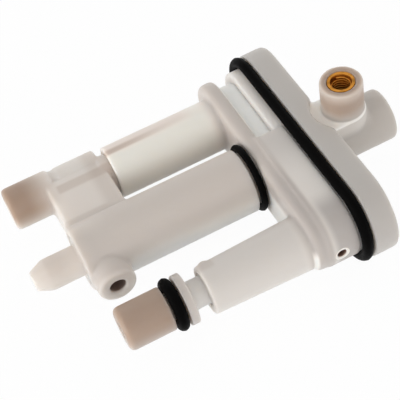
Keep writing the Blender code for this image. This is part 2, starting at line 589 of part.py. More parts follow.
def build_spigot():
    """Short port: rounded tip, seal seat, collar, thin neck and the plug that enters the tube."""
    axis = at(y=-PORT_PITCH) @ ALONG_X
    neck_right = COLLAR_DISC_RIGHT + LOWER_NECK_LENGTH
    neck_radius = PLUG_RADIUS - LOWER_NECK_STEP
    plug_right = neck_right + LOWER_PLUG_LENGTH
    groove_left = neck_right + PLUG_GROOVE_OFFSET
    groove_right = groove_left + PLUG_CORD + 2 * GAP
    seat = LOWER_CORD_RADIUS - LOWER_CORD - GAP
    finish(turned("lower_spigot", [
        (plug_right, LOWER_BORE), (plug_right, PLUG_RADIUS - EDGE), (plug_right - EDGE, PLUG_RADIUS),
        (groove_right, PLUG_RADIUS), (groove_right, PLUG_FLOOR), (groove_left, PLUG_FLOOR),
        (groove_left, PLUG_RADIUS), (neck_right, PLUG_RADIUS), (neck_right, neck_radius),
        (COLLAR_DISC_RIGHT, neck_radius), (COLLAR_DISC_RIGHT, COLLAR_DISC_RADIUS - EDGE),
        (COLLAR_DISC_RIGHT - EDGE, COLLAR_DISC_RADIUS), (COLLAR_DISC_LEFT + EDGE, COLLAR_DISC_RADIUS),
        (COLLAR_DISC_LEFT, COLLAR_DISC_RADIUS - EDGE), (COLLAR_DISC_LEFT, seat), (LOWER_TIP_RIGHT, seat),
        (LOWER_TIP_RIGHT, LOWER_TIP_RADIUS - EDGE), (LOWER_TIP_RIGHT - EDGE, LOWER_TIP_RADIUS)]
        + arc(LOWER_TIP_END + LOWER_TIP_NOSE, LOWER_TIP_RADIUS - LOWER_TIP_NOSE, LOWER_TIP_NOSE, 90, 180, 4)
        + [(LOWER_TIP_END, LOWER_BORE)], axis), TIP_WHITE)
    seal_x = (COLLAR_DISC_LEFT + LOWER_TIP_RIGHT) / 2
    seal_radius = LOWER_CORD_RADIUS - LOWER_CORD / 2
    seal_axis = at(x=seal_x, y=-PORT_PITCH) @ ALONG_X
    finish(ring("spigot_o_ring", LOWER_CORD, seal_radius, seal_axis), RUBBER)
    plug_axis = at(x=(groove_left + groove_right) / 2, y=-PORT_PITCH) @ ALONG_X
    finish(ring("plug_o_ring", PLUG_CORD, PLUG_FLOOR + GAP + PLUG_CORD / 2, plug_axis, COARSE, 6), RUBBER)


def build_barrel_inside():
    """Stem guide with its seal, and the two seats that the valve disc works between."""
    guide_bore = STEM_RADIUS + GAP
    groove_left = GUIDE_LEFT + (GUIDE_LENGTH - GUIDE_CORD) / 2 - GAP
    groove_right = groove_left + GUIDE_CORD + 2 * GAP
    groove_radius = guide_bore + GUIDE_CORD + GAP
    guide_radius = BARREL_BORE - GAP
    finish(turned("stem_guide", [
        (GUIDE_RIGHT, guide_bore), (GUIDE_RIGHT, guide_radius), (GUIDE_LEFT, guide_radius),
        (GUIDE_LEFT, guide_bore), (groove_left, guide_bore), (groove_left, groove_radius),
        (groove_right, groove_radius), (groove_right, guide_bore)], ALONG_X, COARSE), SEAT_GREY)
    seal_axis = at(x=(groove_left + groove_right) / 2) @ ALONG_X
    finish(ring("guide_o_ring", GUIDE_CORD, guide_bore + GUIDE_CORD / 2, seal_axis, COARSE, 6), RUBBER)
    for name, left in (("closed_seat", CLOSED_SEAT_LEFT), ("open_seat", OPEN_SEAT_LEFT)):
        seat = sleeve(name, left, left + SEAT_THICKNESS, SHUTTLE_BORE - GAP, SEAT_OPENING, ALONG_X, steps=COARSE)
        finish(seat, SEAT_GREY)


def build_shuttle():
    """Stem with two clips, the piston with its seal and the rubber valve disc on its shoulder."""
    piston_groove_left = PISTON_LEFT - 2 * GAP - CLIP_THICKNESS
    disc_groove_right = DISC_RIGHT + 2 * GAP + CLIP_THICKNESS
    shoulder_right = DISC_LEFT - GAP
    shoulder = STEM_RADIUS + SHOULDER_STEP
    finish(turned("shuttle_stem", [
        (disc_groove_right + STEM_END, 0.0), (disc_groove_right + STEM_END, STEM_RADIUS),
        (disc_groove_right, STEM_RADIUS),
        (disc_groove_right, CLIP_SEAT), (DISC_RIGHT, CLIP_SEAT), (DISC_RIGHT, STEM_RADIUS),
        (shoulder_right, STEM_RADIUS), (shoulder_right, shoulder), (shoulder_right - CLIP_THICKNESS, shoulder),
        (shoulder_right - CLIP_THICKNESS, STEM_RADIUS), (PISTON_LEFT, STEM_RADIUS), (PISTON_LEFT, CLIP_SEAT),
        (piston_groove_left, CLIP_SEAT), (piston_groove_left, STEM_RADIUS),
        (piston_groove_left - STEM_END, STEM_RADIUS), (piston_groove_left - STEM_END, 0.0)],
        ALONG_X, COARSE, closed=False), SEAT_GREY)
    for name, left in (("piston_clip", piston_groove_left + GAP), ("disc_clip", DISC_RIGHT + GAP)):
        clip = sleeve(name, left, left + CLIP_THICKNESS, CLIP_RADIUS, CLIP_SEAT + GAP, ALONG_X, PLAY, COARSE)
        mouth = box(name + "_mouth", (left - GAP, -CLIP_SEAT, 0.0),
                    (left + CLIP_THICKNESS + GAP, CLIP_SEAT, 2 * CLIP_RADIUS))
        cut(clip, mouth)
        finish(clip, STEEL)
    middle = (PISTON_LEFT + PISTON_RIGHT) / 2
    groove_half = PISTON_SEAL_WIDTH / 2 + GAP
    seal_outer = BARREL_BORE - SLIDE / 2
    seal_inner = PISTON_RADIUS - PISTON_SEAL_DEPTH
    finish(turned("piston", [
        (PISTON_RIGHT, STEM_RADIUS + GAP), (PISTON_RIGHT, PISTON_RADIUS), (middle + groove_half, PISTON_RADIUS),
        (middle + groove_half, seal_inner - GAP), (middle - groove_half, seal_inner - GAP),
        (middle - groove_half, PISTON_RADIUS), (PISTON_LEFT, PISTON_RADIUS),
        (PISTON_LEFT, STEM_RADIUS + GAP)], ALONG_X, FINE), SEAT_GREY)
    seal_half = PISTON_SEAL_WIDTH / 2
    finish(sleeve("piston_seal", middle - seal_half, middle + seal_half, seal_outer, seal_inner, ALONG_X), RUBBER)
    finish(sleeve("valve_disc", DISC_LEFT, DISC_RIGHT, DISC_RADIUS, STEM_RADIUS + GAP, ALONG_X, EDGE,
                  COARSE), RUBBER)


def build_spring():
    """Return spring between piston and guide, one unbroken wire."""
    per_turn = 10
    count = int(SPRING_TURNS * per_turn)
    start = SPRING_LEFT + SPRING_WIRE / 2
    run = SPRING_RIGHT - SPRING_LEFT - SPRING_WIRE
    points = []
    for step in range(count + 1):
        angle = 2 * pi * step / per_turn
        points.append((start + run * step / count, SPRING_RADIUS * cos(angle), SPRING_RADIUS * sin(angle)))
    least = run / SPRING_TURNS - SPRING_WIRE
    print("return spring: least gap between curls %.2f mm" % (least / MM))
    finish(tube_along("return_spring", points, SPRING_WIRE / 2, False, 1), STEEL)


build_head()
build_insert()
build_head_seal()
build_tube_plate()
build_barrel()
build_barrel_seal()
build_cap()
build_spigot()
build_barrel_inside()
build_shuttle()
build_spring()
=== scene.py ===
"""Diverter valve cartridge: soft white mouldings, black seals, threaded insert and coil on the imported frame.

Shapes are drawn in millimetres and become metres when they are made into objects.
"""

from math import cos, pi, radians, sin

import bmesh
import bpy
from bpy.props import FloatProperty, FloatVectorProperty, IntProperty, PointerProperty
from mathutils import Matrix, Vector


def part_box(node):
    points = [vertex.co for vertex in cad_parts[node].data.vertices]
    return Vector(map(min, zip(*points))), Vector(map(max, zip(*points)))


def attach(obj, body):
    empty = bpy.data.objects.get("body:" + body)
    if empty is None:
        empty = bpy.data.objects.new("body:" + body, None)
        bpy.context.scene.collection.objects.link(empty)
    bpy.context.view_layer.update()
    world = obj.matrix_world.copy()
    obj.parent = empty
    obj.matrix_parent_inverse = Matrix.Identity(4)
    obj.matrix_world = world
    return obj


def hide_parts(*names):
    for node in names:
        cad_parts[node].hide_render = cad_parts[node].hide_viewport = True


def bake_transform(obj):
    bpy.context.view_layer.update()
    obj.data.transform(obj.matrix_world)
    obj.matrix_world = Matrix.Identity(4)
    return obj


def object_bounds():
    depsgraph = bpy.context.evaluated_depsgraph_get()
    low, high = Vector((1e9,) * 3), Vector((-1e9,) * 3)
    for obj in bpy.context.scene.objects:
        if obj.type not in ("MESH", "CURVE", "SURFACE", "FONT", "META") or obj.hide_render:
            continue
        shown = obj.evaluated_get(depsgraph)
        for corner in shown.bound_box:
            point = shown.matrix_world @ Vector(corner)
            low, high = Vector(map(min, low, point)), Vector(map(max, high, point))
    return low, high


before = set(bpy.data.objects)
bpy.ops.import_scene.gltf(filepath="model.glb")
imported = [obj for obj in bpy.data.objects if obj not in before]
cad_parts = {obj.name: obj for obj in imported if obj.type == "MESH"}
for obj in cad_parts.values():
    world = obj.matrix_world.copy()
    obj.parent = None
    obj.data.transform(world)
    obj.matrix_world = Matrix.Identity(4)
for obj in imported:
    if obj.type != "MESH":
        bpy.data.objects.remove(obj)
CAD_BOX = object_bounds()

bl_info = {
    "name": "Diverter valve",
    "version": (1, 0, 0),
    "blender": (4, 5, 0),
    "location": "View3D > Sidebar > Valve",
    "description": "Builds the mouldings, seals, insert and coil of a diverter valve cartridge on its frame",
    "category": "Object",
}

MM = 0.001


def frame_box(node):
    """The two corners of a frame node's box, in millimetres."""
    low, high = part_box(node)
    return low / MM, high / MM


# Stations read from the frame
HEAD_LOW, HEAD_HIGH = frame_box("head_block")
PLATE_LOW, PLATE_HIGH = frame_box("tube_plate")
BARREL_LOW, BARREL_HIGH = frame_box("valve_barrel")
CAP_LOW, CAP_HIGH = frame_box("end_cap")
SPIGOT_LOW, SPIGOT_HIGH = frame_box("lower_spigot")
INSERT_LOW, INSERT_HIGH = frame_box("brass_insert")
LONG_SEAL_LOW, LONG_SEAL_HIGH = frame_box("head_o_ring")
BARREL_SEAL_LOW, BARREL_SEAL_HIGH = frame_box("barrel_o_ring")
PORT_SEAL_LOW, PORT_SEAL_HIGH = frame_box("spigot_o_ring")
SPRING_LOW, SPRING_HIGH = frame_box("return_spring")

# How far joined shapes reach into each other, how far cutters run past a face, and the room between pieces
LAP = 0.6
PAST = 1.0
ROOM = 0.3

# Port axes and the head's outline
FLANGE_RADIUS = -HEAD_LOW.z
PITCH = HEAD_HIGH.y - FLANGE_RADIUS
BOSS_X = (INSERT_LOW.x + INSERT_HIGH.x) / 2
INSERT_RADIUS = (INSERT_HIGH.x - INSERT_LOW.x) / 2
HUB_LEFT = HEAD_LOW.x
FLANGE_LEFT = LONG_SEAL_HIGH.x + 0.1
FLANGE_RIGHT = LONG_SEAL_HIGH.x + 6.7
LONG_CORD = LONG_SEAL_HIGH.x - LONG_SEAL_LOW.x
HUB_RADIUS = LONG_SEAL_HIGH.z - LONG_CORD - 0.05
STUB_RADIUS = 6.85
STUB_WALL = 1.7
BOSS_RADIUS = 5.4
FOOT_RADIUS = 5.8
FOOT_TOP = 9.15
FOOT_STEP = 0.4
SPOT_CLEARANCE = 2.9
POCKET_FLOOR = 0.3
POCKET_PLAY = 0.05

# The plate with its tubes
PLATE_LEFT = -12.5
PLATE_RIGHT = -8.2
PLATE_RADIUS = 8.3
NECK_RADIUS = 6.3
NECK_RIGHT = HUB_LEFT + 0.8
NECK_FAR = PITCH - 0.8
BLOCK_RADIUS = 8.6
BLOCK_FAR = 3.9
CHAMBER_LEFT = PLATE_RIGHT - 1.6
CHAMBER_RADIUS = 4.7
UPPER_TUBE_Y = PITCH - 3.2
UPPER_TUBE_LEFT = PLATE_LOW.x
UPPER_TUBE_RADIUS = 7.0
UPPER_TUBE_BORE = 5.4
LOWER_TUBE_Y = -PITCH - 0.5
LOWER_TUBE_LEFT = UPPER_TUBE_LEFT + 4.0
LOWER_TUBE_FOOT = 6.9
LOWER_TUBE_END = 6.1
LOWER_TUBE_BORE = 4.2
LUG_X = LOWER_TUBE_LEFT + 2.2
LUG_Y = LOWER_TUBE_Y + 3.2
LUG_RADIUS = 1.8
LUG_TOP = 5.0
SOCKET_RADIUS = 7.2
VENT_X = (PLATE_RIGHT + PLATE_HIGH.x) / 2
VENT_RADIUS = 1.25
VENT_RIM = 1.9
VENT_RUN = 17.0

# The barrel with the long port
BARREL_RADIUS = BARREL_HIGH.z
BARREL_BORE = 6.3
BARREL_LEFT = -60.7
BARREL_RIGHT = BARREL_SEAL_LOW.x - ROOM
SPIGOT_RIGHT = -9.0
SPIGOT_RADIUS = 6.9
SPIGOT_BORE = 5.5
BORE_STEP = -33.14
LONG_TIP_END = BARREL_LOW.x
LONG_TIP_RIGHT = LONG_TIP_END + 12.4
LONG_TIP_RADIUS = 5.65
WAIST_RADIUS = 4.85
WAIST_LENGTH = 2.0
SECTION_RADIUS = 5.15
SECTION_RIGHT = UPPER_TUBE_LEFT - 1.9
DUCT_LEFT = BARREL_LEFT + 0.6
DUCT_FAR = PITCH - 1.8
DUCT_HALF = 5.0
PORT_BORE = 3.2
LONG_BORE_RIGHT = SECTION_RIGHT - 3.0
PLUG_BORE_LEFT = SECTION_RIGHT - 6.0
PLUG_RADIUS = 5.35
PLUG_LENGTH = 9.0
SIDE_BOSS_X = BARREL_LEFT + 5.1
SIDE_BOSS_FOOT = 5.1
SIDE_BOSS_RADIUS = 4.9
SIDE_BOSS_END = 12.6
SIDE_HOLE_RADIUS = 2.1
SIDE_HOLE_MOUTH = 2.3

# Turns of the X axis, and how shapes are divided and welded
UPRIGHT = Matrix.Rotation(-pi / 2, 4, 'Y')
TO_FRONT = Matrix.Rotation(-pi / 2, 4, 'Z')
CORNER_STEPS = 5
ROUND_STEPS = 96
AXIS_MARGIN = 0.0001
WELD = 0.001

# How far the painted shade inside a hole, and the painted highlight on the vent's rim, reach along it, over
# what length they end, and how soft their outline is
HOLE_PAINT_DEPTH = 8.0
HOLE_PAINT_FADE = 1.0
HOLE_PAINT_EDGE = 0.1

# The part of a noise's range that a finish uses
NOISE_LOW = 0.3
NOISE_HIGH = 0.7

# Where the lamps hang from the middle of the part, in metres
FRONT_LAMP = Vector((-0.15, -0.62, 0.12))
LEFT_LAMP = Vector((-0.62, -0.02, 0.1))
LAMP_SIZE = 0.5

# Heights of a direction between which the light of the horizon gives way to that of the sky
HORIZON_LOW = 0.05
HORIZON_HIGH = 0.4

# The camera's sensor in millimetres, and the rays that see the floor and the sky as white
SENSOR_WIDTH = 36.0
RAYS_SEEN = ("Is Camera Ray", "Is Glossy Ray", "Is Transmission Ray")


class ValveSizes(bpy.types.PropertyGroup):
    """Sizes of the moulded and turned detail that the frame leaves open."""
    skin: FloatProperty(name="Skin grid", description="Face size of the fused mouldings", default=0.00033,
                        min=0.0002, precision=5, unit='LENGTH')
    soft_rounds: IntProperty(name="Soft rounds", description="Smoothing rounds that give the moulded edges",
                             default=8, min=0)
    turn_steps: IntProperty(name="Turn steps", description="Faces round a turned piece", default=128, min=24)
    thread_pitch: FloatProperty(name="Thread pitch", description="Rise of the insert's thread in one turn",
                                default=0.0008, precision=5, unit='LENGTH')
    thread_depth: FloatProperty(name="Thread depth", description="How far the thread stands off its root",
                                default=0.00042, precision=5, unit='LENGTH')
    flash: FloatProperty(name="Seal flash", description="Height of the mould line round each seal",
                         default=0.00006, precision=6, unit='LENGTH')


class ValveFinish(bpy.types.PropertyGroup):
    """Colours of the plastic, rubber and metal, with the painted light and shade of the plastic."""
    # Painted light: the lighter bottom of each moulding's gradient, where light from below falls, and lighter
    # zones on the head and barrel
    pale: FloatVectorProperty(name="Pale plastic", description="Plastic low down, painted lighter",
                              subtype='COLOR', default=(0.95, 0.905, 0.85))
    # Painted shade: the darker, warmer top of the barrel, the cap and the short port
    shaded_warm: FloatVectorProperty(name="Shaded warmer plastic", description="Plastic on top, painted darker as shade",
                              subtype='COLOR', default=(0.88, 0.795, 0.725))
    # Painted shade: the darker top of the head and the plate; on the hub it is painted light
    cool: FloatVectorProperty(name="Cool plastic", description="Plastic on top of the head and the plate",
                              subtype='COLOR', default=(0.88, 0.832, 0.78))
    # Painted shade inside the side boss's hole and the vent
    hole: FloatVectorProperty(name="Hole shade", description="Painted shade inside the small holes", subtype='COLOR',
                              default=(0.15, 0.065, 0.038))
    # A browned tone for the port tips and the stub, also used as painted shade on the boss, the plate, the
    # tubes and the duct
    brown_and_shade: FloatVectorProperty(name="Browned plastic and shade", description="A browned tone, also used as painted shade",
                               subtype='COLOR', default=(0.41, 0.297, 0.225))
    # Painted shade in grey, on the flange end, the plate, the block, the tubes, the barrel and the collar
    shade_grey: FloatVectorProperty(name="Grey shade", description="Grey painted shade on the plastic",
                              subtype='COLOR', default=(0.47, 0.43, 0.405))
    # Painted light, where light coming through the plastic brightens the upper tube and the vent's rim
    clear: FloatVectorProperty(name="Lit-through plastic", description="Painted light where light comes through the plastic",
                               subtype='COLOR', default=(0.99, 0.872, 0.79))
    # Painted light on the neck, the plate's left face and the low near side of the barrel
    white: FloatVectorProperty(name="Painted light plastic", description="Painted light that brightens the plastic",
                               subtype='COLOR', default=(1.0, 0.945, 0.885))
    inner: FloatVectorProperty(name="Inner plastic", description="Harder plastic of the inner pieces",
                               subtype='COLOR', default=(0.70, 0.69, 0.66))
    rubber: FloatVectorProperty(name="Rubber", description="Black rubber of the seals", subtype='COLOR',
                                default=(0.0014, 0.0012, 0.0012))
    brass: FloatVectorProperty(name="Brass", description="Threaded insert", subtype='COLOR',
                               default=(0.60, 0.26, 0.042))
    steel: FloatVectorProperty(name="Steel", description="Spring and clips", subtype='COLOR',
                               default=(0.56, 0.55, 0.53))


class StageSettings(bpy.types.PropertyGroup):
    """Camera, sky and lamps."""
    eye: FloatVectorProperty(name="Eye", description="Where the camera stands", subtype='XYZ', unit='LENGTH',
                             default=(-0.081733, -0.181827, 0.228195))
    azimuth: FloatProperty(name="Azimuth", description="Camera's turn about the vertical", subtype='ANGLE',
                           default=radians(-16.604))
    elevation: FloatProperty(name="Elevation", description="Camera's height above the horizon",
                             subtype='ANGLE', default=radians(50.19))
    roll: FloatProperty(name="Roll", description="Camera's tilt about its own axis", subtype='ANGLE',
                        default=radians(12.87))
    lens: FloatProperty(name="Lens", description="Focal length in millimetres", default=107.78)
    sky: FloatProperty(name="Sky", description="Strength of the soft light from above", default=0.68)
    horizon: FloatProperty(name="Horizon", description="Strength of the soft light from the sides",
                           default=1.6)
    front: FloatProperty(name="Front lamp", description="Power of the low front lamp", default=0.5,
                         unit='POWER')
    left: FloatProperty(name="Left lamp", description="Power of the low left lamp", default=1.7, unit='POWER')


def at(x=0.0, y=0.0):
    """A move to a place on the level of the axes."""
    return Matrix.Translation((x, y, 0.0))


def soften(corners):
    """Points of a profile of (along, radius, cut) corners, each corner rounded over its cut length."""
    points = []
    for index, (along, radius, cut) in enumerate(corners):
        here = Vector((along, radius))
        if not cut:
            points.append(here)
            continue
        before = Vector(corners[index - 1][:2])
        after = Vector(corners[(index + 1) % len(corners)][:2])
        start = here + (before - here).normalized() * cut
        end = here + (after - here).normalized() * cut
        for step in range(CORNER_STEPS + 1):
            share = step / CORNER_STEPS
            points.append(start.lerp(here, share).lerp(here.lerp(end, share), share))
    return points


def close_up(shape):
    """Weld the seams and poles of a shape and turn its faces outwards."""
    bmesh.ops.remove_doubles(shape, verts=shape.verts[:], dist=WELD)
    bmesh.ops.recalc_face_normals(shape, faces=shape.faces[:])


def turned(corners, matrix=None, steps=ROUND_STEPS, closed=False):
    """A shape turned about X from a profile, then moved by a matrix."""
    shape = bmesh.new()
    points = [shape.verts.new((point.x, point.y, 0.0)) for point in soften(corners)]
    edges = [shape.edges.new(pair) for pair in zip(points, points[1:])]
    if closed:
        edges.append(shape.edges.new((points[-1], points[0])))
    bmesh.ops.spin(shape, geom=points + edges, cent=(0.0, 0.0, 0.0), axis=(1.0, 0.0, 0.0), angle=2 * pi,
                   steps=steps, use_merge=True)
    close_up(shape)
    if matrix is not None:
        bmesh.ops.transform(shape, matrix=matrix, verts=shape.verts[:])
    return shape


def rod(low, high, radius, matrix=None):
    """A plain cylinder between two stations."""
    return turned([(low, 0.0, 0.0), (low, radius, 0.0), (high, radius, 0.0), (high, 0.0, 0.0)], matrix)


def drawn_out(shape, near, far):
    """Part a turned shape at its middle and draw the halves out along Y to two centres."""
    half_step = Matrix.Rotation(pi / ROUND_STEPS, 4, 'X')
    bmesh.ops.transform(shape, matrix=half_step, verts=shape.verts[:])
    far_half = [vertex for vertex in shape.verts if vertex.co.y > AXIS_MARGIN]
    near_half = [vertex for vertex in shape.verts if vertex.co.y <= AXIS_MARGIN]
    bmesh.ops.translate(shape, verts=far_half, vec=(0.0, far, 0.0))
    bmesh.ops.translate(shape, verts=near_half, vec=(0.0, near, 0.0))
    return shape


def long_slab(left, right, radius, near, far, left_cut=0.0, right_cut=0.0):
    """A slab with round ends, lying along Y between two stations."""
    corners = [(left, 0.0, 0.0), (left, radius, left_cut), (right, radius, right_cut), (right, 0.0, 0.0)]
    return drawn_out(turned(corners), near, far)


def block(low, high, edge=0.0):
    """A block between two corners, with its edges rounded if an edge size is given."""
    shape = bmesh.new()
    bmesh.ops.create_cube(shape, size=1.0)
    bmesh.ops.scale(shape, vec=Vector(high) - Vector(low), verts=shape.verts[:])
    bmesh.ops.translate(shape, vec=(Vector(high) + Vector(low)) / 2, verts=shape.verts[:])
    if edge:
        bmesh.ops.bevel(shape, geom=shape.edges[:], offset=edge, affect='EDGES', segments=4, profile=0.5,
                        material=-1, clamp_overlap=True)
    return shape


def as_object(name, shape):
    """Make a shape an object, in metres."""
    bmesh.ops.scale(shape, vec=(MM, MM, MM), verts=shape.verts[:])
    mesh = bpy.data.meshes.new(name)
    shape.to_mesh(mesh)
    shape.free()
    mesh.shade_smooth()
    obj = bpy.data.objects.new(name, mesh)
    bpy.context.scene.collection.objects.link(obj)
    return obj


def fuse(name, first, steps, sizes):
    """One moulding from a solid and (operation, shape) steps, with moulded edges and fillets."""
    body = as_object(name, first)
    tools = []
    for operation, shape in steps:
        tool = as_object(name + "_tool", shape)
        boolean = body.modifiers.new(operation.title(), 'BOOLEAN')
        boolean.operation = operation
        boolean.solver = 'MANIFOLD'
        boolean.object = tool
        tools.append(tool)
    skin = body.modifiers.new("Skin", 'REMESH')
    skin.mode = 'VOXEL'
    skin.voxel_size = sizes.skin
    soft = body.modifiers.new("Moulded edges", 'SMOOTH')
    soft.factor = 0.5
    soft.iterations = sizes.soft_rounds
    bpy.context.view_layer.update()
    graph = bpy.context.evaluated_depsgraph_get()
    mesh = bpy.data.meshes.new_from_object(body.evaluated_get(graph))
    body.modifiers.clear()
    body.data = mesh
    mesh.shade_smooth()
    for tool in tools:
        bpy.data.objects.remove(tool, do_unlink=True)
    if not mesh.polygons:
        raise RuntimeError(name + " came out empty")
    return body


def install(obj, material, slot, *nodes):
    """Give a piece its finish and let it stand for its frame nodes."""
    obj.data.materials.clear()
    obj.data.materials.append(material)
    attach(obj, "valve")
    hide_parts(*nodes)


class Level:
    """A value inside a material; + - and * on it add Math nodes."""

    def __init__(self, tree, socket):
        self.tree = tree
        self.socket = socket

    def combine(self, operation, first, second):
        node = self.tree.nodes.new("ShaderNodeMath")
        node.operation = operation
        for entry, value in zip(node.inputs, (first, second)):
            if isinstance(value, Level):
                self.tree.links.new(value.socket, entry)
            else:
                entry.default_value = value
        return Level(self.tree, node.outputs[0])

    def __add__(self, other):
        return self.combine('ADD', self, other)

    def __radd__(self, other):
        return self.combine('ADD', other, self)

    def __sub__(self, other):
        return self.combine('SUBTRACT', self, other)

    def __rsub__(self, other):
        return self.combine('SUBTRACT', other, self)

    def __mul__(self, other):
        return self.combine('MULTIPLY', self, other)

    def __rmul__(self, other):
        return self.combine('MULTIPLY', other, self)


class Finish:
    """A material under construction."""

    def __init__(self, name):
        self.material = bpy.data.materials.new(name)
        self.material.use_nodes = True
        self.tree = self.material.node_tree
        self.shader = self.tree.nodes["Principled BSDF"]
        self.place = self.node("ShaderNodeTexCoord", output="Object")

    def feed(self, entry, value):
        if isinstance(value, Level):
            self.tree.links.new(value.socket, entry)
        else:
            entry.default_value = value

    def node(self, kind, settings=None, inputs=None, output=0):
        """Any node: its settings first, then its inputs, and the chosen output back as a level."""
        node = self.tree.nodes.new(kind)
        for name, value in (settings or {}).items():
            setattr(node, name, value)
        for key, value in (inputs or {}).items():
            self.feed(node.inputs[key], value)
        return Level(self.tree, node.outputs[output])

    def noise(self, scale, detail=2.0, roughness=0.5):
        inputs = {"Vector": self.place, "Scale": scale, "Detail": detail, "Roughness": roughness}
        return self.node("ShaderNodeTexNoise", inputs=inputs)

    def ramp(self, value, start, full, low=0.0, high=1.0):
        inputs = {"Value": value, "From Min": start, "From Max": full, "To Min": low, "To Max": high}
        return self.node("ShaderNodeMapRange", {"interpolation_type": 'SMOOTHSTEP'}, inputs)

    def mix(self, share, first, second):
        """A blend of two colours."""
        inputs = {0: share, 6: opaque(first), 7: opaque(second)}
        return self.node("ShaderNodeMix", {"data_type": 'RGBA'}, inputs, output=2)

    def bump(self, height, strength, distance):
        inputs = {"Height": height, "Strength": strength, "Distance": distance}
        return self.node("ShaderNodeBump", inputs=inputs)

    def shade(self, **sockets):
        """Feed the shader's sockets, named with underscores for spaces."""
        for name, value in sockets.items():
            self.feed(self.shader.inputs[name.replace("_", " ")], value)
        return self.material


def opaque(colour):
    """A plain colour with its alpha; a level is left as it is."""
    return colour if isinstance(colour, Level) else (*colour, 1.0)


def plastic(name, look, top, light_shade_and_tint_zones=(), hole_light_and_shade=(), depth=1.0, scatter=3.5):
    """Natural translucent plastic, painted lighter low down and darker towards its top as painted light and
    shade.

    It is painted in zones of (strength, colour, ((axis, start, full), ...)), where axis R is the distance from
    the boss's axis; most zones are painted light and painted shade, and some a browned tone. Holes along Y,
    given as (x, radius, start, full, colour), get painted shade inside and the vent a painted highlight on its
    rim, all in millimetres. Depth below 1 paints the whole moulding darker as painted shade, and scatter is
    how many millimetres light travels inside it.
    Depth below 1 darkens a thick moulding, and scatter is how many millimetres light travels inside it.
    """
    finish = Finish(name)
    axes = {axis: finish.node("ShaderNodeSeparateXYZ", inputs={"Vector": finish.place}, output=axis)
            for axis in "XYZ"}
    from_boss = axes["X"] - BOSS_X * MM
    squared = from_boss * from_boss + axes["Y"] * axes["Y"]
    axes["R"] = squared.combine('POWER', squared, 0.5)
    cloud = finish.noise(scale=70.0, detail=3.0)
    sway = 8.0 * MM
    half = 7.0 * MM
    # Painted light and shade: lighter low down and darker towards the top, swayed by the random cloud
    height = finish.ramp(axes["Z"] + (cloud - 0.5) * sway, -half, half)
    lit_low_colour = [channel * depth for channel in look.pale]
    shaded_top_colour = [channel * depth for channel in top]
    colour = finish.mix(height, lit_low_colour, shaded_top_colour)
    # Zones of painted light, painted shade and browned tone
    for strength, zone_colour, ramps in light_shade_and_tint_zones:
        mask = strength
        for axis, start, full in ramps:
            mask = mask * finish.ramp(axes[axis], start * MM, full * MM)
        colour = finish.mix(mask, colour, zone_colour)
    # Holes: painted shade inside, and a painted highlight on the vent's rim
    for x, radius, start, full, hole_paint in hole_light_and_shade:
        across = axes["X"] - x * MM
        squared = across * across + axes["Z"] * axes["Z"]
        outer = ((radius + HOLE_PAINT_EDGE) * MM) ** 2
        inner = ((radius - HOLE_PAINT_EDGE) * MM) ** 2
        inside = finish.ramp(squared, outer, inner)
        from_front = finish.ramp(axes["Y"], start * MM, full * MM)
        end = full + HOLE_PAINT_DEPTH
        to_back = finish.ramp(axes["Y"], end * MM, (end - HOLE_PAINT_FADE) * MM)
        colour = finish.mix(inside * from_front * to_back, colour, hole_paint)
    grain = finish.noise(scale=900.0, detail=3.0)
    ripple = finish.noise(scale=160.0, detail=1.0)
    return finish.shade(
        Base_Color=colour,
        Roughness=finish.ramp(grain, NOISE_LOW, NOISE_HIGH, low=0.36, high=0.5),
        Normal=finish.bump(grain * 0.25 + ripple, strength=0.12, distance=0.0004),
        Subsurface_Weight=1.0,
        Subsurface_Radius=(1.0, 0.95, 0.88),
        Subsurface_Scale=scatter * MM,
        IOR=1.48)


def rubber(look):
    """Black seal rubber with a satin skin."""
    finish = Finish("Seal rubber")
    grain = finish.noise(scale=1400.0, detail=3.0)
    dust = finish.ramp(finish.noise(scale=220.0, detail=4.0, roughness=0.6), start=0.55, full=0.8)
    grey = [channel * 2.2 for channel in look.rubber]
    return finish.shade(
        Base_Color=finish.mix(dust, look.rubber, grey),
        Roughness=finish.ramp(grain, NOISE_LOW, NOISE_HIGH, low=0.46, high=0.6),
        Normal=finish.bump(grain, strength=0.15, distance=0.00005),
        Specular_IOR_Level=0.03)


def metal(name, colour, dark, gloss, scale):
    """Drawn metal with fine marks, and tarnish that darkens it to a share of its colour."""
    finish = Finish(name)
    tarnish = finish.ramp(finish.noise(scale, detail=4.0, roughness=0.6), start=0.4, full=0.75)
    marks = finish.noise(scale * 9.0, detail=2.0)
    return finish.shade(
        Base_Color=finish.mix(tarnish, colour, [channel * dark for channel in colour]),
        Metallic=1.0,
        Roughness=finish.ramp(marks, NOISE_LOW, NOISE_HIGH, low=gloss - 0.06, high=gloss + 0.1),
        Normal=finish.bump(marks, strength=0.1, distance=0.00004))


